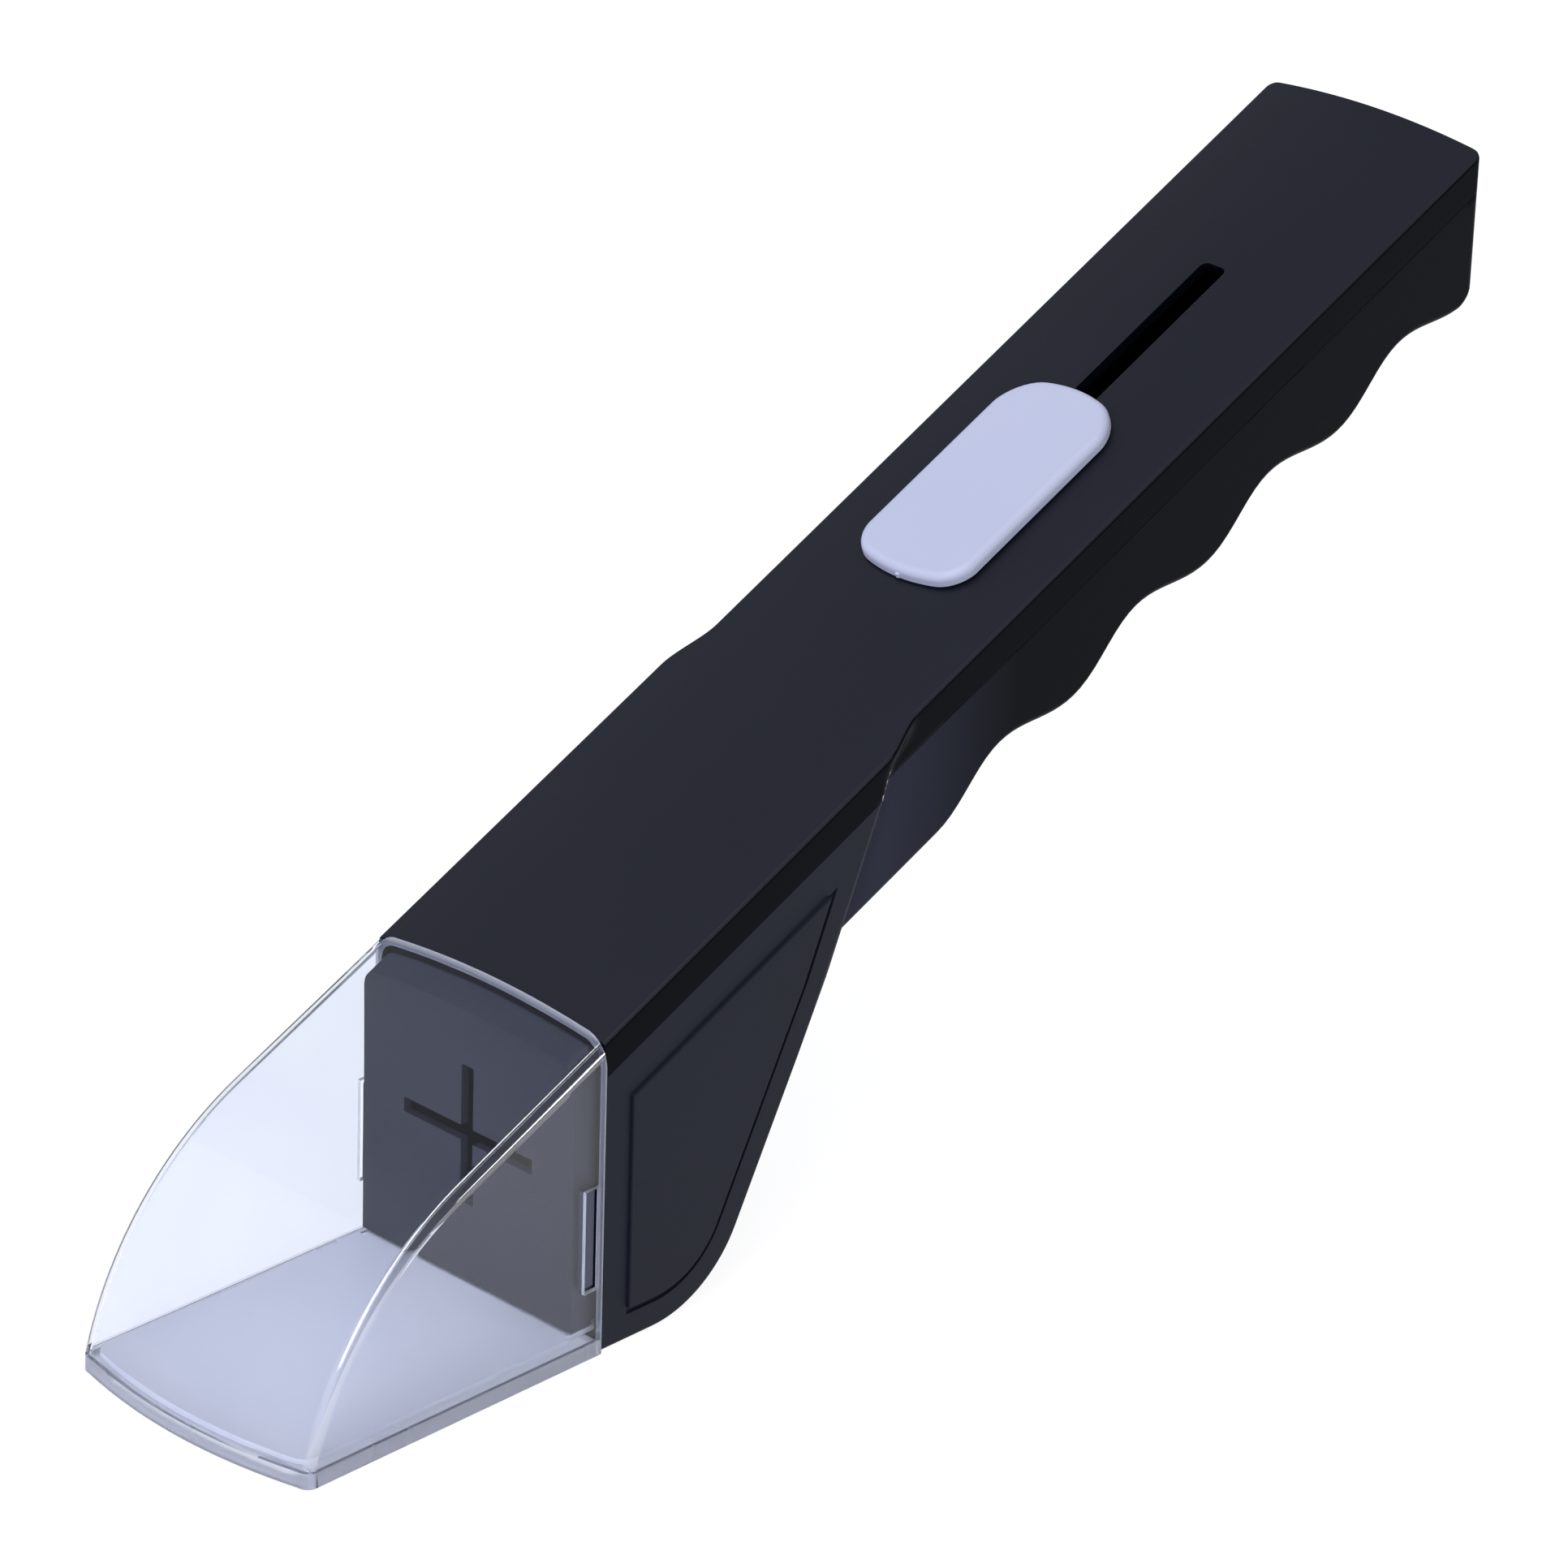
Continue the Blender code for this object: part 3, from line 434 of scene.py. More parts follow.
def merge():
    bpy.ops.mesh.remove_doubles(threshold=DOUBLES)


def face_out():
    bpy.ops.mesh.select_all(action="SELECT")
    bpy.ops.mesh.normals_make_consistent(inside=False)


def plate(name, points, push):
    """A flat disc pulled to an outline, then extruded."""
    bpy.ops.object.select_all(action="DESELECT")
    bpy.ops.mesh.primitive_circle_add(vertices=len(points), fill_type="NGON")
    obj = bpy.context.object
    obj.name = name
    for vertex, point in zip(obj.data.vertices, points):
        vertex.co = point
    move = {"value": push}
    editing(obj, lambda: bpy.ops.mesh.extrude_region_move(TRANSFORM_OT_translate=move), face_out)
    return obj


def skin(name, rows):
    """A grid pulled to rows of points."""
    bpy.ops.object.select_all(action="DESELECT")
    across, along = len(rows[0]) - 1, len(rows) - 1
    bpy.ops.mesh.primitive_grid_add(x_subdivisions=across, y_subdivisions=along, size=2)
    obj = bpy.context.object
    obj.name = name
    for vertex in obj.data.vertices:
        column = round((vertex.co.x + 1) / 2 * across)
        row = round((vertex.co.y + 1) / 2 * along)
        vertex.co = rows[row][column]
    return obj


def tube(name, rings):
    """A closed body through rings of points, capped at both ends."""
    obj = skin(name, [ring + ring[:1] for ring in rings])
    editing(obj, merge, lambda: bpy.ops.mesh.fill_holes(sides=0), face_out)
    return obj


def block(name, low, high):
    bpy.ops.object.select_all(action="DESELECT")
    bpy.ops.mesh.primitive_cube_add(size=1)
    obj = bpy.context.object
    obj.name = name
    low, high = Vector(low), Vector(high)
    for vertex in obj.data.vertices:
        vertex.co = (low + high) / 2 + vertex.co * (high - low)
    return obj


def post(name, x, s, top, foot, radius, sides=POST_SIDES):
    """A round pin square to the grip, between two depths."""
    bpy.ops.object.select_all(action="DESELECT")
    bpy.ops.mesh.primitive_cylinder_add(vertices=sides, radius=radius, depth=foot - top)
    obj = bpy.context.object
    obj.name = name
    turn = Matrix.Translation(on_grip(x, s, (top + foot) / 2)) @ Matrix.Rotation(HANDLE_TILT, 4, "X")
    obj.data.transform(turn)
    return obj


def apply(obj, kind, **settings):
    only(obj)
    modifier = obj.modifiers.new(kind.title(), kind)
    for name, value in settings.items():
        setattr(modifier, name, value)
    bpy.ops.object.modifier_apply(modifier=modifier.name)


def combine(obj, operation, *others):
    for other in others:
        apply(obj, "BOOLEAN", operation=operation, object=other, solver="EXACT")
        bpy.data.objects.remove(other)


def soften(obj, width, segments=EDGE_PARTS):
    apply(obj, "BEVEL", width=width, segments=segments, limit_method="ANGLE", angle_limit=EDGE_ANGLE,
          use_clamp_overlap=False, miter_outer="MITER_ARC")


def finish(obj, body, slot, look, *nodes, parts=()):
    """Shades a piece, gives it its material and hangs it on its body in place of its CAD nodes.

    Faces that pass a test(centre, normal) in parts get that part's material instead."""
    only(obj)
    bpy.ops.object.shade_smooth_by_angle(angle=SMOOTH_ANGLE)
    apply(obj, "WEIGHTED_NORMAL", keep_sharp=True)
    obj.data.materials.clear()
    for made in [look] + [made for made, _ in parts]:
        obj.data.materials.append(made)
    for face in obj.data.polygons:
        tests = [test(face.center, face.normal) for _, test in parts]
        face.material_index = tests.index(True) + 1 if True in tests else 0
    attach(obj, body)
    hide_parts(*nodes)


# Materials. Drifts in metres, then the spread of gloss and the strength of the mould's grain
TONE_DRIFT = 0.030
MELT_DRIFT = 0.015
GLOSS_SPREAD = 0.06
MELT_GLOSS_SHARE = 0.3
GRAIN_STRENGTH = 0.35
# Heights between which the hood's crease turns from clear to its painted dark tint
CREASE_CLEAR = 0.0197
CREASE_PAINTED_DARK = 0.0328


def colour(code):
    """Linear colour of an sRGB hex value."""
    parts = [int(code[i:i + 2], 16) / 255 for i in (1, 3, 5)]
    return (*(p / 12.92 if p <= 0.04045 else ((p + 0.055) / 1.055) ** 2.4 for p in parts), 1)


def node(tree, kind, inputs=None, **settings):
    made = tree.nodes.new(kind)
    for name, value in settings.items():
        setattr(made, name, value)
    for key, value in (inputs or {}).items():
        if isinstance(value, bpy.types.NodeSocket):
            tree.links.new(value, made.inputs[key])
        else:
            made.inputs[key].default_value = value
    return made


def material(name, **constants):
    made = bpy.data.materials.new(name)
    made.use_nodes = True
    shader = made.node_tree.nodes["Principled BSDF"]
    for key, value in constants.items():
        shader.inputs[key.replace("_", " ").title().replace("Ior", "IOR")].default_value = value
    return made, made.node_tree, shader


def moulded(name, dark, light, grain_mm, roughness, depth_mm, fade_tone=None, **constants):
    """A moulded plastic: slow drift of tone, and the fine grain of the mould's wall.

    Given a fade tone, the colour passes into it behind the step: a painted reflection, light at the step and
    fading along the grip."""
    made, tree, shader = material(name, **constants)
    place = node(tree, "ShaderNodeTexCoord").outputs["Object"]
    drift = node(tree, "ShaderNodeTexNoise", {"Vector": place, "Scale": 1 / TONE_DRIFT, "Detail": 2.0})
    tone = node(tree, "ShaderNodeMix", {"Factor": drift.outputs["Fac"]}, data_type="RGBA")
    tone.inputs["A"].default_value = colour(dark)
    tone.inputs["B"].default_value = colour(light)
    grain = node(tree, "ShaderNodeTexNoise", {"Vector": place, "Scale": 1000 / grain_mm, "Detail": 3.0})
    rough = node(tree, "ShaderNodeMapRange", {"Value": grain.outputs["Fac"],
                                              "To Min": roughness - GLOSS_SPREAD,
                                              "To Max": roughness + GLOSS_SPREAD})
    bump = node(tree, "ShaderNodeBump", {"Height": grain.outputs["Fac"], "Strength": GRAIN_STRENGTH,
                                         "Distance": depth_mm / 1000})
    if fade_tone:
        along = node(tree, "ShaderNodeSeparateXYZ", {"Vector": place}).outputs["Y"]
        start = on_grip(0, STEP_START, 0).y
        share = node(tree, "ShaderNodeMapRange", {"Value": along, "From Min": start,
                                                  "From Max": start + REFLECTION_FADE_LENGTH})
        tone = node(tree, "ShaderNodeMix", {"Factor": share.outputs["Result"],
                                            "A": tone.outputs["Result"]}, data_type="RGBA")
        tone.inputs["B"].default_value = colour(fade_tone)
    tree.links.new(tone.outputs["Result"], shader.inputs["Base Color"])
    tree.links.new(rough.outputs["Result"], shader.inputs["Roughness"])
    tree.links.new(bump.outputs["Normal"], shader.inputs["Normal"])
    return made


def clear(name, cold, warm, roughness, **constants):
    """A clear plastic: slow drift of tint and gloss, as the melt's flow leaves it."""
    made, tree, shader = material(name, **constants)
    place = node(tree, "ShaderNodeTexCoord").outputs["Object"]
    drift = node(tree, "ShaderNodeTexNoise", {"Vector": place, "Scale": 1 / MELT_DRIFT, "Detail": 1.0})
    tone = node(tree, "ShaderNodeMix", {"Factor": drift.outputs["Fac"]}, data_type="RGBA")
    tone.inputs["A"].default_value = colour(cold)
    tone.inputs["B"].default_value = colour(warm)
    rough = node(tree, "ShaderNodeMapRange", {"Value": drift.outputs["Fac"],
                                              "To Min": roughness * (1 - MELT_GLOSS_SHARE),
                                              "To Max": roughness * (1 + MELT_GLOSS_SHARE)})
    tree.links.new(tone.outputs["Result"], shader.inputs["Base Color"])
    tree.links.new(rough.outputs["Result"], shader.inputs["Roughness"])
    return made


def crease_glass_painted_shade(name, clear_tint, painted_dark_tint, **constants):
    """The clear plastic of a rounded crease, with a painted dark tint: the higher it is, the darker it is
    painted, in place of the black head seen bent through it.
    """
    made, tree, shader = material(name, **constants)
    place = node(tree, "ShaderNodeTexCoord").outputs["Object"]
    height = node(tree, "ShaderNodeSeparateXYZ", {"Vector": place}).outputs["Z"]
    rise = node(tree, "ShaderNodeMapRange", {"Value": height, "From Min": CREASE_CLEAR,
                                             "From Max": CREASE_PAINTED_DARK})
    tone = node(tree, "ShaderNodeMix", {"Factor": rise.outputs["Result"]}, data_type="RGBA")
    tone.inputs["A"].default_value = colour(clear_tint)
    tone.inputs["B"].default_value = colour(painted_dark_tint)
    tree.links.new(tone.outputs["Result"], shader.inputs["Base Color"])
    return made


# ABS from a spark-etched mould: an even, fine satin that greys the black. The real grain is near
# 0.1 mm and is drawn at 0.5 mm so that it shows
ABS_SATIN = moulded("black_abs_satin", "#12141e", "#161824", 0.5, 0.46, 0.02, ior=1.53,
                    specular_ior_level=0.3)
# The grip body's satin: its greyer base is a painted reflection of the floor on the head's sides, and its
# gloss is kept low
ABS_SIDE = moulded("black_abs_side_painted_reflection", "#1d202b", "#212430", 0.5, 0.46, 0.02, ior=1.53,
                   specular_ior_level=0.1)
# The cover's sides: a painted shade makes the faces that turn sideways the deepest black, with a faint
# smooth gloss
ABS_SIDE_PAINTED_SHADE = moulded("black_abs_side_painted_shade", "#070910", "#0a0c14", 1.2, 0.34, 0.004, ior=1.53,
                       specular_ior_level=0.025)
# The grip's sides: smoother than the satin, with a painted reflection that is grey at the step and fades to
# deep black behind it
ABS_GRIP = moulded("black_abs_grip_painted_reflection", "#303341", "#343745", 1.0, 0.38, 0.006, fade_tone="#080a10", ior=1.53,
                   specular_ior_level=0.035)
# The round edge of the step: a painted highlight, pale grey under a strong coat
ABS_STEP_HIGHLIGHT = moulded("black_abs_painted_step_highlight", "#5c5f6b", "#666975", 1.0, 0.24, 0.004, ior=1.53,
                   specular_ior_level=1.0, coat_weight=1.0, coat_ior=2.0, coat_roughness=0.12)
# Bulkhead: the same resin, dull from the mould
ABS_DULL = moulded("grey_abs_dull", "#282c3a", "#2e3342", 0.6, 0.55, 0.02, ior=1.53)
# The bulkhead's catches: painted light, paler so that their outward faces, turned to the studio's dark side,
# look as lit as the bulkhead
ABS_CATCH_PAINTED_LIGHT = moulded("grey_abs_catch_painted_light", "#454a5b", "#4c5163", 0.6, 0.50, 0.02, ior=1.53)
# Thumb button: white ABS with a cold cast, fine satin
ABS_WHITE = moulded("white_abs_satin", "#c3c8e0", "#cbcfe6", 0.5, 0.48, 0.02, ior=1.53)
# Trap door: calendered polypropylene sheet, smooth with faint roller drift
PP_SHEET = moulded("polypropylene_sheet", "#f1f3ff", "#f6f8ff", 1.0, 0.42, 0.006, ior=1.49)
# Screws: bright zinc plate
ZINC = moulded("zinc_plated_steel", "#9a9ca3", "#b3b5bb", 0.4, 0.33, 0.006, metallic=1.0)
# Hood: clear polystyrene from a polished mould, with a cold tint that drifts with the melt's flow. The
# low index keeps the thin wall's outline light, the coat gives it the gloss of polystyrene
CLEAR = clear("clear_polystyrene", "#f3f6ff", "#f8faff", 0.02, ior=1.14, transmission_weight=1.0,
              coat_weight=0.45, coat_ior=1.5, coat_roughness=0.03)
# The hood's moulded edges, which gather light and look milky
CLEAR_EDGE = clear("clear_polystyrene_edge", "#e9ecf9", "#eff2fd", 0.3, ior=1.4, transmission_weight=0.65)
# The hood's rounded crease bends light hard: bright lines on both sides of a dark band. The band is partly
# that bending and partly a painted dark tint, darker the higher it is
CLEAR_CREASE_PAINTED_SHADE = crease_glass_painted_shade("clear_polystyrene_crease_painted_shade", "#f3f6ff", "#7c8294", roughness=0.02, ior=1.55,
                            transmission_weight=1.0, coat_weight=1.0, coat_ior=2.0, coat_roughness=0.03)


# The step from head to grip, shared by cover and grip body
def depth_below(point):
    return (Vector((point.y + MOUTH_BACK, point.z)) - RIM_TOP).dot(DOWN)


def past_step(point):
    """How far a point lies behind the line where the head's sides start to step in."""
    away = Vector((point.y + MOUTH_BACK, point.z)) - RIM_TOP
    return away.dot(ALONG) + depth_below(point) * STEP_SLOPE - STEP_START


def step_highlight_edge(centre, normal):
    """Picks the round edge where a side turns into the step, from below the roof to the grip's foot, for its
    painted highlight.
    """
    turning = abs(normal.x) > EDGE_SIDEWARD and normal.y > EDGE_REARWARD
    beside = abs(past_step(centre)) < STEP_EDGE
    return turning and beside and EDGE_START < depth_below(centre) < GRIP_DEPTH


# Top cover
def leaning(section, s):
    return [on_grip(x, s - n * SECTION_LEAN, n) for x, n in section]


def cover_half(s, inset):
    """One half of the cover's section, from the middle of the roof down the side."""
    line = roof_line(half_width(s, 0, HEAD_HALF), ROOF_RADIUS, inset)
    edge, top = line[-1]
    for i in range(1, SKIRT_PARTS + 1):
        n = top + (COVER_SKIRT - top) * i / SKIRT_PARTS
        side = half_width(s - n * SECTION_LEAN, n, HEAD_HALF) - inset
        line.append((edge + (side - edge) * eased(2 * i / SKIRT_PARTS), n))
    return line


def cover_ring(s):
    return leaning(mirrored(cover_half(s, 0)) + mirrored(cover_half(s, WALL))[::-1], s)


def cover_end_ring(s):
    half = half_width(s, 0, HEAD_HALF)
    foot = (half - WALL / 2, COVER_SKIRT - GAP)
    return leaning(mirrored(roof_line(half, ROOF_RADIUS, WALL / 2) + [foot]), s)


def make_cover():
    low = STEP_START - COVER_SKIRT * STEP_SLOPE
    high = STEP_START + STEP_LENGTH + COVER_SKIRT * SECTION_LEAN
    end = HANDLE_LENGTH - END_CORNER
    places = span(0, low, COVER_STEP) + span(low, high, COVER_FINE_STEP)[1:]
    places += span(high, end, COVER_STEP)[1:]
    places += span(end, HANDLE_LENGTH, END_CORNER / COVER_END_PARTS)[1:]
    cover = tube("cover", [cover_ring(s) for s in places])
    places = span(HANDLE_LENGTH - WALL, HANDLE_LENGTH - GAP / 4, WALL / COVER_END_PARTS)
    combine(cover, "UNION", tube("cover_end", [cover_end_ring(s) for s in places]))
    start = STEM_FRONT - GAP
    plan = pad_plan(start, STEM_LENGTH + TRAVEL + 2 * GAP, SLOT_WIDTH, SLOT_END, SLOT_END)
    slot = plate("slot", [on_grip(x, s, -SLOT_CUT) for x, s in plan], (0, *DOWN * (2 * SLOT_CUT)))
    combine(cover, "DIFFERENCE", slot)
    soften(cover, HOUSING_EDGE)
    # Faces turned sideways get the painted shade, the step's round edge the painted highlight
    parts = ((ABS_STEP_HIGHLIGHT, step_highlight_edge), (ABS_SIDE_PAINTED_SHADE, lambda centre, normal: abs(normal.dot(UP)) < ROOF_UPWARD))
    finish(cover, "housing", "black_abs", ABS_SATIN, "top_cover", parts=parts)


# Grip body
def grip_ring(s, inset, top):
    base = ring_depth(s) - inset
    radius = max(GRIP_RADIUS - inset, GAP)
    right = []
    for i in range(GRIP_SIDE_PARTS + 1):
        n = top + (base - radius - top) * i / GRIP_SIDE_PARTS
        right.append((half_width(s - n * SECTION_LEAN, n, HEAD_HALF - STEP_LIP) - inset, n))
    centre = right[-1][0] - radius
    for i in range(1, GRIP_CORNER_PARTS + 1):
        turn = math.pi / 2 * i / GRIP_CORNER_PARTS
        right.append((centre + radius * math.cos(turn), base - radius + radius * math.sin(turn)))
    return leaning(right + [(-x, n) for x, n in right[::-1]], s)


def grip_trough(name, inset, top, start, end):
    places = span(start, FIRST_CREST + GRIP_DEPTH * SECTION_LEAN, GRIP_STEP)
    places += span(places[-1], HANDLE_LENGTH - END_RADIUS, GROOVE_PITCH / GROOVE_PARTS)[1:]
    places = [s for s in places if s < end - END_RADIUS] + span(end - END_RADIUS, end, GRIP_END_STEP)
    return tube(name, [grip_ring(s, inset, top) for s in places])


def head_block(name, inset, front, top, half):
    outline = head_outline(inset, front, top)
    return plate(name, [placed(-half, y, z) for y, z in outline], (2 * half, 0, 0))


def bevel_edges(obj, chosen, width, segments):
    """Bevels the edges of a piece whose two ends pass a test."""
    only(obj)
    bpy.ops.object.mode_set(mode="EDIT")
    bpy.ops.mesh.select_mode(type="EDGE")
    bpy.ops.mesh.select_all(action="DESELECT")
    bpy.ops.object.mode_set(mode="OBJECT")
    for edge in obj.data.edges:
        edge.select = chosen(*(obj.data.vertices[i].co for i in edge.vertices))
    bpy.ops.object.mode_set(mode="EDIT")
    bpy.ops.mesh.bevel(offset=width, segments=segments, affect="EDGES")
    bpy.ops.object.mode_set(mode="OBJECT")


def heel_edge(a, b):
    """The head's long lower edges, from the rim round the heel to the grip."""
    return a.x * b.x > 0 and max(a.y, b.y) + MOUTH_BACK > GAP and (a.z + b.z) / 2 < STEP_FOOT.y


def step_edge(a, b):
    """The head's rear edges, where its sides step in to the grip."""
    low = STEP_FOOT.y - OVERLAP
    rear = placed(0, STEP_FOOT.x, 0).y - OVERLAP
    return a.x * b.x > 0 and min(a.z, b.z) > low and min(a.y, b.y) > rear and abs(a.z - b.z) > HEEL_EDGE


def screw_places():
    spots = (FIRST_CREST + GROOVE_PITCH / 2, LAST_CREST - GROOVE_PITCH / 2)
    places = [(half_width(s, SCREW_SEAT, HEAD_HALF) - SCREW_INSET, s) for s in spots]
    return [(side * x, s) for x, s in places for side in (-1, 1)]


def make_grip():
    body = head_block("grip", 0, 0, COVER_SKIRT / 2, HEAD_HALF)
    bevel_edges(body, step_edge, STEP_EDGE, SOFT_EDGE_PARTS)
    bevel_edges(body, heel_edge, HEEL_EDGE, ROUND_EDGE_PARTS)
    combine(body, "UNION", grip_trough("outside", 0, COVER_SKIRT / 3, GRIP_START, HANDLE_LENGTH))
    for side in (-1, 1):
        channel = head_outline(PANEL_INSET - PANEL_CHANNEL, PANEL_INSET, PANEL_TOP)
        outer = [placed(side * (HEAD_HALF - CHANNEL_DEPTH), y, z) for y, z in channel]
        combine(body, "DIFFERENCE", plate("channel", outer, (side * FAR, 0, 0)))
        outline = head_outline(PANEL_INSET, PANEL_INSET, PANEL_TOP)
        inner = side * (HEAD_HALF - OVERLAP)
        panel = plate("panel", [placed(inner, y, z) for y, z in outline],
                      (side * (OVERLAP + PANEL_RAISE), 0, 0))
        soften(panel, PANEL_EDGE, SOFT_EDGE_PARTS)
        combine(body, "UNION", panel)
    combine(body, "DIFFERENCE", head_block("inside", WALL, -FAR, 0, HEAD_HALF - HEAD_WALL),
            grip_trough("hollow", WALL, GAP, GRIP_START - GRIP_DEPTH / 2, HANDLE_LENGTH - WALL))
    for x, s in screw_places():
        boss = post("boss", x, s, BOSS_TOP, grip_depth(s) - WALL / 2, BOSS_RADIUS)
        combine(body, "UNION", boss)
        combine(body, "DIFFERENCE", post("hole", x, s, HOLE_TOP, FAR, SCREW_SHANK + GAP),
                post("seat", x, s, SCREW_SEAT, FAR, SCREW_HEAD + GAP))
    plan = [(-FAR, -FAR), (FAR, -FAR), (FAR, HANDLE_LENGTH + FAR), (-FAR, HANDLE_LENGTH + FAR)]
    above = plate("above", [on_grip(x, s, SEAM) for x, s in plan], (0, *DOWN * -FAR))
    combine(body, "DIFFERENCE", above)
    soften(body, HOUSING_EDGE)
    # The step's round edge gets the painted highlight, the grip behind the step the painted reflection
    parts = ((ABS_STEP_HIGHLIGHT, lambda centre, normal: past_step(centre) < 0 and step_highlight_edge(centre, normal)),
             (ABS_GRIP, lambda centre, normal: past_step(centre) > 0))
    finish(body, "housing", "black_abs", ABS_SIDE, "grip_body", parts=parts)


# Bulkhead
def roof_height(d, depth):
    rise = math.tan(HANDLE_TILT)
    height = RIM_TOP.y + (d - RIM_TOP.x) * rise - depth / math.cos(HANDLE_TILT)
    return height / (1 + math.tan(RIM_TILT) * rise)


def bulkhead_ring(d, inset, base):
    line = [(x, roof_height(d, n)) for x, n in roof_line(HEAD_HALF, RIM_RADIUS, inset)]
    ring = mirrored(line + [(HEAD_HALF - inset, base)])
    return [placed(x, d - z * math.tan(RIM_TILT), z) for x, z in ring]


def at_rim(obj):
    """Leans a piece that was made upright at the rim."""
    shift = Matrix.Translation((0, -MOUTH_BACK, 0))
    obj.data.transform(shift @ Matrix.Rotation(RIM_TILT, 4, "X"))
    return obj


def make_bulkhead():
    base = DOOR_TOP + GUIDE_GAP
    spigot = HOOD_WALL + GAP
    plug = WALL + GAP
    rings = [bulkhead_ring(d, spigot, base) for d in (-SPIGOT_LENGTH, -GAP)]
    rings += [bulkhead_ring(d, plug, base + GAP) for d in (-GAP, PLUG_LENGTH)]
    wall = tube("bulkhead_wall", rings)
    places = (PLATE_WALL - SPIGOT_LENGTH, PLUG_LENGTH + GAP)
    hollow = [bulkhead_ring(d, plug + PLATE_WALL, base + PLATE_WALL) for d in places]
    combine(wall, "DIFFERENCE", tube("hollow", hollow))
    for width, height in ((VENT_WIDTH, VENT_SLOT), (VENT_SLOT, VENT_HEIGHT)):
        low = placed(-width / 2, -2 * SPIGOT_LENGTH, VENT_CENTRE - height / 2)
        combine(wall, "DIFFERENCE", block("vent", low, placed(width / 2, 0, VENT_CENTRE + height / 2)))
    for side in (-1, 1):
        near, far = sorted((side * (HEAD_HALF - spigot - OVERLAP), side * (HEAD_HALF - GAP)))
        catch = block("catch", (near, -CATCH_REAR - CATCH_DEPTH, CATCH_LOW),
                      (far, -CATCH_REAR, CATCH_LOW + CATCH_LENGTH))
        combine(wall, "UNION", at_rim(catch))
    soften(wall, BULKHEAD_EDGE)
    # The catches' outward faces get the paler painted light
    parts = ((ABS_CATCH_PAINTED_LIGHT, lambda centre, normal: abs(centre.x) > HEAD_HALF - HOOD_WALL),)
    finish(wall, "housing", "dark_abs", ABS_DULL, "bulkhead", parts=parts)


# Hood
def hood_stations(inset):
    """The hood's upper edge in the side view, close enough for the lip's groove."""
    path = nose_path(inset)
    chin = path[-2]
    fine = path[:1]
    for a, b in zip(path, path[1:]):
        fine += [a.lerp(b, t) for t in span(0, 1, HOOD_STEP / (b - a).length)[1:]]
    place = fine.index(chin)
    for other, at in ((fine[place + 1], place + 1), (fine[place - 1], place)):
        fine.insert(at, chin + (other - chin).normalized() * LIP_GROOVE)
    return fine, place + 1


def hood_outward(path, i, chin):
    """Direction out of the hood at a place of its upper edge, square to that edge."""
    if i == 0:
        return Vector((-math.sin(RIM_TILT), math.cos(RIM_TILT))) / math.cos(HANDLE_TILT - RIM_TILT)
    if i > chin:
        return Vector((-1, 0))
    way = (path[i + 1] - path[i - 1]).normalized()
    return Vector((way.y, -way.x))


def hood_arch(half, inset, share):
    """Points (x, fall) over the roof and its two creases, at a share of the way from rim to lip.

    The crease turns into the lip's round corner."""
    wide, drop = (size + (LIP_RADIUS - size) * share - inset for size in (CREASE_WIDTH, CREASE_DROP))
    rise = CROWN_RISE + (NOSE_BULGE - CROWN_RISE) * share
    begin = half - wide
    roof = [(begin * f, rise * (begin * f / half) ** 2 - rise) for f in span(-1, 1, 1 / ROOF_PARTS)]
    edge = roof[-1][1]
    turns = [math.pi / 2 * j / CREASE_PARTS for j in range(1, CREASE_PARTS + 1)]
    crease = [(begin + wide * math.sin(a), edge + drop - drop * math.cos(a)) for a in turns]
    return [(-x, fall) for x, fall in crease[::-1]] + roof + crease


def hood_side(edge, foot, groove):
    """Points down the hood's right side, from the crease over the lip's groove to the mouth."""
    fall = LIP_HEIGHT + LIP_GROOVE - edge.z
    levels = [edge.z + fall * j / SIDE_PARTS for j in range(1, SIDE_PARTS + 1)]
    side = []
    for z in levels + [LIP_HEIGHT, LIP_HEIGHT - LIP_GROOVE, 0]:
        point = foot if edge.z < DOUBLES else edge.lerp(foot, 1 - min(z, edge.z) / edge.z)
        if z == LIP_HEIGHT and edge.z > LIP_HEIGHT + LIP_GROOVE / 2:
            point = point - Vector((groove, 0, 0))
        side.append(point)
    return side


def hood_rows(inset, groove):
    """Rows across the hood from one mouth edge over the roof to the other, rim to lip."""
    path, chin = hood_stations(inset)
    half = HOOD_HALF - inset
    runs = [0]
    for a, b in zip(path, path[1:]):
        runs.append(runs[-1] + (b - a).length)
    roof = []
    for i, (point, run) in enumerate(zip(path, runs)):
        out = hood_outward(path, i, chin)
        sink = groove if i == chin else 0
        shrink = 1 - sink / half
        across = hood_arch(half, inset, run / runs[-1])
        roof.append([placed(x * shrink, *(point - out * (fall + sink))) for x, fall in across])
    front, begin = roof[-1][0].y, roof[0][0].y
    rear = placed(0, -GAP, 0).y
    rows = []
    for row in roof:
        edge = row[-1]
        foot = Vector((half, rear + (front - rear) * (begin - edge.y) / (begin - front), 0))
        right = hood_side(edge, foot, groove)
        left = [Vector((-x, y, z)) for x, y, z in right[::-1]]
        rows.append(left + row + right)
    return rows


def hood_edge(centre, normal):
    """Picks the hood's moulded edges: the ring at its rear, the lip and the walls of the catch windows."""
    from_rim = centre.y + MOUTH_BACK + centre.z * math.tan(RIM_TILT)
    in_wall = GAP / 2 < HOOD_HALF - abs(centre.x) < SHELL_WALL - GAP / 2
    by_catch = -2 * CATCH_DEPTH < from_rim < -2 * GAP and centre.z < CATCH_LOW + CATCH_LENGTH + 2 * GAP
    on_ring = from_rim > RING_GAP / 2 - GAP
    return in_wall and by_catch or on_ring or centre.z < LIP_HEIGHT - LIP_GROOVE


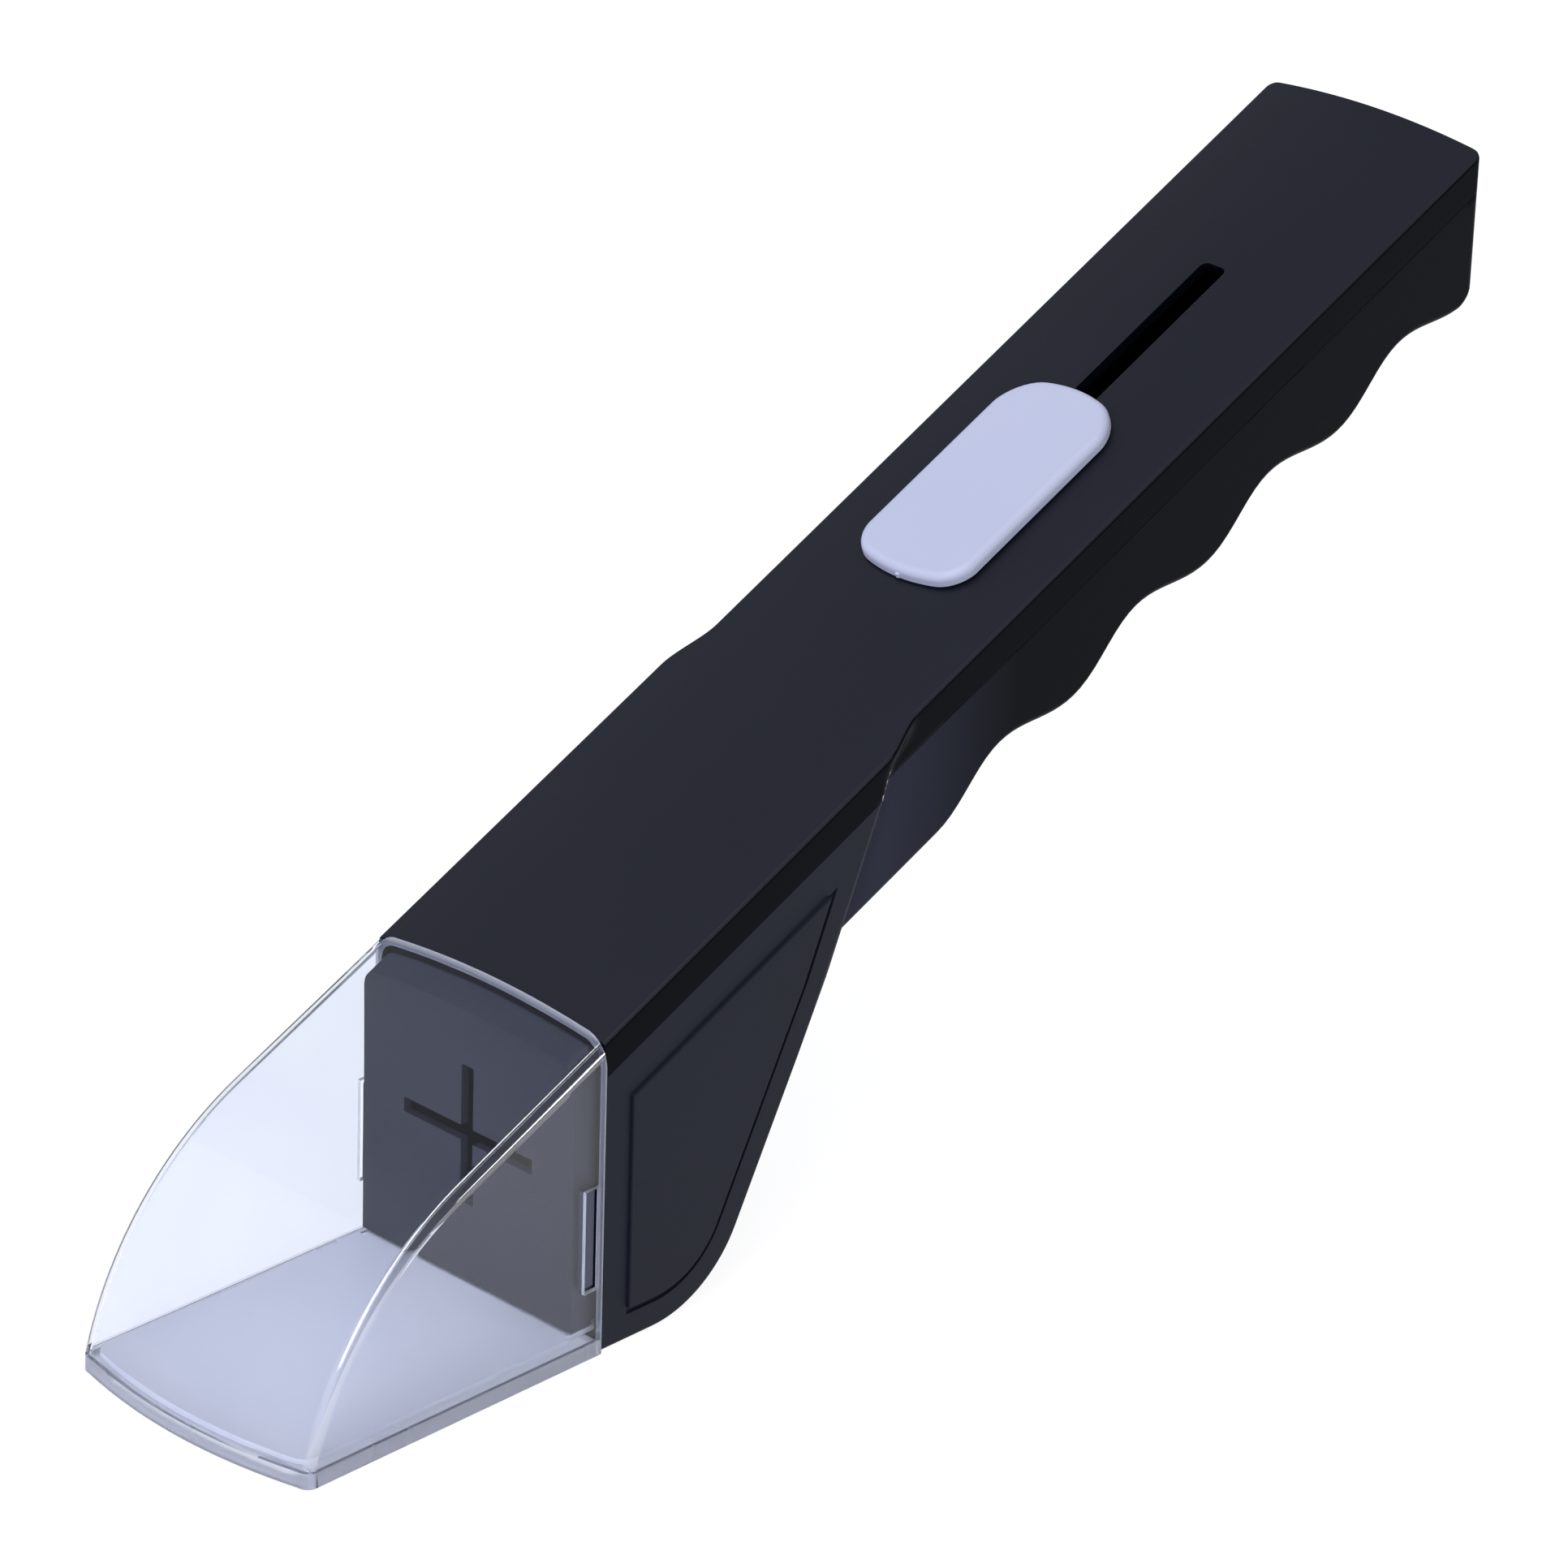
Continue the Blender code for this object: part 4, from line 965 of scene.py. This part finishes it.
def hood_crease(centre, normal):
    """Picks the hood's rounded crease between roof and sides, which gets the painted dark tint."""
    least, most = CREASE_SIDEWARD
    turning = least < abs(normal.x) < most
    beside = HOOD_HALF - abs(centre.x) < CREASE_WIDTH + GAP / 2
    return turning and beside and centre.z > LIP_HEIGHT and not hood_edge(centre, normal)


def make_hood():
    outer, inner = hood_rows(0, LIP_GROOVE), hood_rows(SHELL_WALL, 0)
    shell = skin("hood_shell", outer + inner[::-1] + outer[:1])
    editing(shell, merge, lambda: bpy.ops.mesh.fill_holes(sides=0), face_out)
    ledge = [placed(x, y, 0) for x, y in mouth_outline(LEDGE_START, -2 * GAP)]
    combine(shell, "UNION", plate("ledge", ledge, (0, 0, LEDGE_HEIGHT)))
    mouth = [placed(x, y, -FAR) for x, y in mouth_outline(HOOD_WALL + LEDGE_WIDTH, -SPIGOT_LENGTH)]
    combine(shell, "DIFFERENCE", plate("mouth", mouth, (0, 0, FAR + LEDGE_HEIGHT + GAP / 2)))
    places = (RING_GAP - GAP, -RING_GAP)
    ring = tube("ring", [bulkhead_ring(d, -RING_PROUD, 0) for d in places])
    opening = [bulkhead_ring(d, RING_WIDTH - RING_PROUD, -OVERLAP) for d in (-OVERLAP, OVERLAP)]
    combine(ring, "DIFFERENCE", tube("opening", opening))
    for side in (-1, 1):
        near, far = sorted((side * (HEAD_HALF - 2 * HOOD_WALL), side * FAR))
        window = block("window", (near, -CATCH_REAR - CATCH_DEPTH - GAP, CATCH_LOW - GAP),
                       (far, GAP - CATCH_REAR, CATCH_LOW + CATCH_LENGTH + GAP))
        combine(shell, "DIFFERENCE", at_rim(window))
    only(shell)
    ring.select_set(True)
    bpy.ops.object.join()
    # The crease gets the painted dark tint
    parts = ((CLEAR_EDGE, hood_edge), (CLEAR_CREASE_PAINTED_SHADE, hood_crease))
    finish(shell, "housing", "clear_styrene", CLEAR, "hood", parts=parts)


# Trap door and its tail
def make_door():
    wide, narrow = HOOD_WALL + GAP / 2, WALL + GAP
    shoulder = -SPIGOT_LENGTH - 2 * GAP
    half = HEAD_HALF - narrow
    tail = [(half, shoulder), (half, PLUG_LENGTH), (-half, PLUG_LENGTH), (-half, shoulder)]
    outline = mouth_outline(wide, shoulder)
    outline = outline[:1] + tail + outline[1:]
    door = plate("door_sheet", [placed(x, y, DOOR_FLOOR) for x, y in outline], (0, 0, SHEET))
    soften(door, SHEET_EDGE)
    finish(door, "door", "white_sheet", PP_SHEET, "trap_door")
    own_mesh(door)


def make_tail():
    start = Vector((PLUG_LENGTH + GAP, DOOR_MIDDLE))
    heel = crossing(start, 0, rear_wall_foot(DOOR_MIDDLE), REAR_WALL_ANGLE)
    turn = crossing(heel, REAR_WALL_ANGLE, side_point(0, TAIL_DEPTH), HANDLE_TILT)
    end = side_point(CARRIAGE_FRONT + CLAMP_LAND, TAIL_DEPTH)
    corners = [(start, 0), (heel, HEEL_RADIUS - DOOR_MIDDLE), (turn, TAIL_BEND), (end, 0)]
    path = []
    bends = rounded(corners, ARC_STEP)
    for a, b in zip(bends, bends[1:]):
        path += [a.lerp(b, t) for t in span(0, 1, TAIL_STEP / max((b - a).length, DOUBLES))[:-1]]
    path.append(end)
    half = TAIL_WIDTH / 2
    tail = skin("door_strap", [[placed(f * half, *p) for f in (-1, 0, 1)] for p in path])
    apply(tail, "SOLIDIFY", thickness=SHEET, offset=0)
    only(tail)
    bpy.ops.object.shade_smooth_by_angle(angle=SMOOTH_ANGLE)
    tail.data.materials.append(PP_SHEET)
    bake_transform(tail)
    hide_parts("door_tail")


# Thumb button
def make_button():
    under = -CROWN_RISE - GAP
    plan = pad_plan(BUTTON_FRONT, BUTTON_LENGTH, BUTTON_WIDTH, BUTTON_FRONT_END, BUTTON_REAR_END)
    pad = plate("thumb_pad", [on_grip(x, s, under) for x, s in plan], UP * BUTTON_HEIGHT)
    middle = on_grip(0, 0, under - BUTTON_HEIGHT / 2)
    bevel_edges(pad, lambda a, b: min((a - middle).dot(UP), (b - middle).dot(UP)) > 0, BUTTON_EDGE,
                ROUND_EDGE_PARTS)
    stem = pad_plan(STEM_FRONT, STEM_LENGTH, SLOT_WIDTH - 2 * GAP, SLOT_END, SLOT_END)
    stem = plate("stem", [on_grip(x, s, under - OVERLAP) for x, s in stem], -UP * STEM_DEPTH)
    gate = post("gate", GATE_ASIDE, BUTTON_FRONT + GATE_BACK, under - GATE_TOP, under - GATE_FOOT,
                GATE_RADIUS, GATE_SIDES)
    combine(pad, "UNION", stem, gate)
    finish(pad, "button", "white_abs", ABS_WHITE, "thumb_button")


# Housing screws
def make_screws():
    for i, (x, s) in enumerate(screw_places(), 1):
        top = SCREW_SEAT + GAP
        head = post(f"screw_{i}", x, s, top, top + SCREW_HEAD_HEIGHT, SCREW_HEAD, SCREW_HEAD_SIDES)
        soften(head, SCREW_HEAD_EDGE, SOFT_EDGE_PARTS)
        combine(head, "UNION", post("shank", x, s, top - SCREW_LENGTH, top + SHANK_SINK, SCREW_SHANK))
        for wide, long in ((RECESS_WIDTH, RECESS_LENGTH), (RECESS_LENGTH, RECESS_WIDTH)):
            corners = ((-wide, -long), (wide, -long), (wide, long), (-wide, long))
            points = [on_grip(x + a / 2, s + b / 2, top + RECESS_FLOOR) for a, b in corners]
            combine(head, "DIFFERENCE", plate("recess", points, (0, *DOWN * RECESS_CUT)))
        finish(head, "housing", "screw_steel", ZINC, f"housing_screw_{i}")


def dress_inner_nodes():
    """Materials for the CAD nodes that stay, all inside the housing."""
    finishes = {"door_guide": ABS_DULL, "carriage": ABS_WHITE, "clamp_plate": ABS_WHITE}
    for name in ("button_screw", "clamp_screw_1", "clamp_screw_2"):
        finishes[name] = ZINC
    for name, made in finishes.items():
        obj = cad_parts[name]
        obj.data.materials.clear()
        obj.data.materials.append(made)


# Stage, in metres. The floor's own colour keeps the shadow, and its glow makes the rest white
FLOOR_SIZE = 6
FLOOR_DROP = 0.0001
FLOOR_GLOW_SHARE = 0.7
FLOOR_GLOW = 1.3
# Direction of the studio's dark side, its edges as shares of 1, and the light on its two sides
DARK_SIDE = (0.30, 0.95, 0.10)
DARK_EDGES = (-0.5, 0.15)
STUDIO_LIGHT = (1.1, 0.3)
LAMP_AIM = (0, 0, 0.05)
# Each lamp's name, place, width, length and watts
LAMPS = (("strip", (0.47, -0.60, 1.00), 0.22, 1.7, 7),
         ("edge", (1.05, 0.36, 0.40), 0.08, 0.6, 1.2),
         ("rear", (-0.70, 1.20, 0.35), 1.0, 0.6, 4))
# Camera: lens and sensor in mm, azimuth, height and roll in degrees, then its way from the rim's foot in
# metres across, up and back as it sees them
CAMERA_LENS = 169.04
CAMERA_SENSOR = 36
CAMERA_TURN = (41.885, 24.965, 3.045)
CAMERA_WAY = (0.03777, 0.06488, 0.93542)
CAMERA_CLIP = 0.05


def make_floor():
    bpy.ops.object.select_all(action="DESELECT")
    bpy.ops.mesh.primitive_plane_add(size=FLOOR_SIZE)
    floor = bpy.context.object
    floor.name = "floor"
    made, tree, shader = material("pale_floor", base_color=colour("#c9cad2"), roughness=0.9)
    # White to the camera, in gloss and through the hood, with the shadow kept
    ray = node(tree, "ShaderNodeLightPath").outputs
    straight = node(tree, "ShaderNodeMath", {0: ray["Is Camera Ray"], 1: ray["Is Transmission Ray"]},
                    operation="MAXIMUM")
    seen = node(tree, "ShaderNodeMath", {0: straight.outputs["Value"], 1: ray["Is Glossy Ray"]},
                operation="MAXIMUM")
    share = node(tree, "ShaderNodeMath", {0: seen.outputs["Value"], 1: FLOOR_GLOW_SHARE},
                 operation="MULTIPLY")
    white = node(tree, "ShaderNodeEmission", {"Color": (1, 1, 1, 1), "Strength": FLOOR_GLOW})
    mixed = node(tree, "ShaderNodeMixShader", {0: share.outputs["Value"], 1: shader.outputs["BSDF"],
                                               2: white.outputs["Emission"]})
    tree.links.new(mixed.outputs["Shader"], tree.nodes["Material Output"].inputs["Surface"])
    floor.data.materials.append(made)
    floor.data.transform(Matrix.Translation((0, 0, -FLOOR_DROP)))


def make_lamp(name, place, width, length, power):
    data = bpy.data.lights.new(name, "AREA")
    data.shape = "RECTANGLE"
    data.size = width
    data.size_y = length
    data.energy = power
    lamp = bpy.data.objects.new(name, data)
    bpy.context.scene.collection.objects.link(lamp)
    lamp.location = place
    lamp.rotation_euler = (Vector(LAMP_AIM) - Vector(place)).to_track_quat("-Z", "Y").to_euler()


def make_light():
    world = bpy.data.worlds.new("studio")
    bpy.context.scene.world = world
    world.use_nodes = True
    tree = world.node_tree
    # A white studio, darker on the far right
    way = node(tree, "ShaderNodeTexCoord").outputs["Generated"]
    lean = node(tree, "ShaderNodeVectorMath", {0: way, 1: DARK_SIDE}, operation="DOT_PRODUCT")
    (near, far), (bright, dim) = DARK_EDGES, STUDIO_LIGHT
    level = node(tree, "ShaderNodeMapRange", {"Value": lean.outputs["Value"], "From Min": near,
                                              "From Max": far, "To Min": bright, "To Max": dim})
    backdrop = tree.nodes["Background"]
    backdrop.inputs["Color"].default_value = colour("#e9edfb")
    tree.links.new(level.outputs["Result"], backdrop.inputs["Strength"])
    for lamp in LAMPS:
        make_lamp(*lamp)


def make_camera():
    data = bpy.data.cameras.new("camera")
    data.sensor_width = CAMERA_SENSOR
    data.lens = CAMERA_LENS
    data.clip_start = CAMERA_CLIP
    camera = bpy.data.objects.new("camera", data)
    bpy.context.scene.collection.objects.link(camera)
    azimuth, height, roll = (math.radians(a) for a in CAMERA_TURN)
    flat = math.cos(height)
    back = Vector((math.sin(azimuth) * flat, -math.cos(azimuth) * flat, math.sin(height)))
    right = Vector((math.cos(azimuth), math.sin(azimuth), 0))
    up = back.cross(right)
    across = right * math.cos(roll) + up * math.sin(roll)
    up = up * math.cos(roll) - right * math.sin(roll)
    place = sum((axis * step for axis, step in zip((across, up, back), CAMERA_WAY)), Vector((0, 0, 0)))
    turn = Matrix((across, up, back)).transposed()
    camera.matrix_world = Matrix.Translation(placed(*place)) @ turn.to_4x4()
    bpy.context.scene.camera = camera


make_camera()
make_light()
make_floor()
make_cover()
make_grip()
make_bulkhead()
make_hood()
make_door()
make_tail()
make_button()
make_screws()
dress_inner_nodes()
bpy.context.scene.view_settings.view_transform = "Standard"
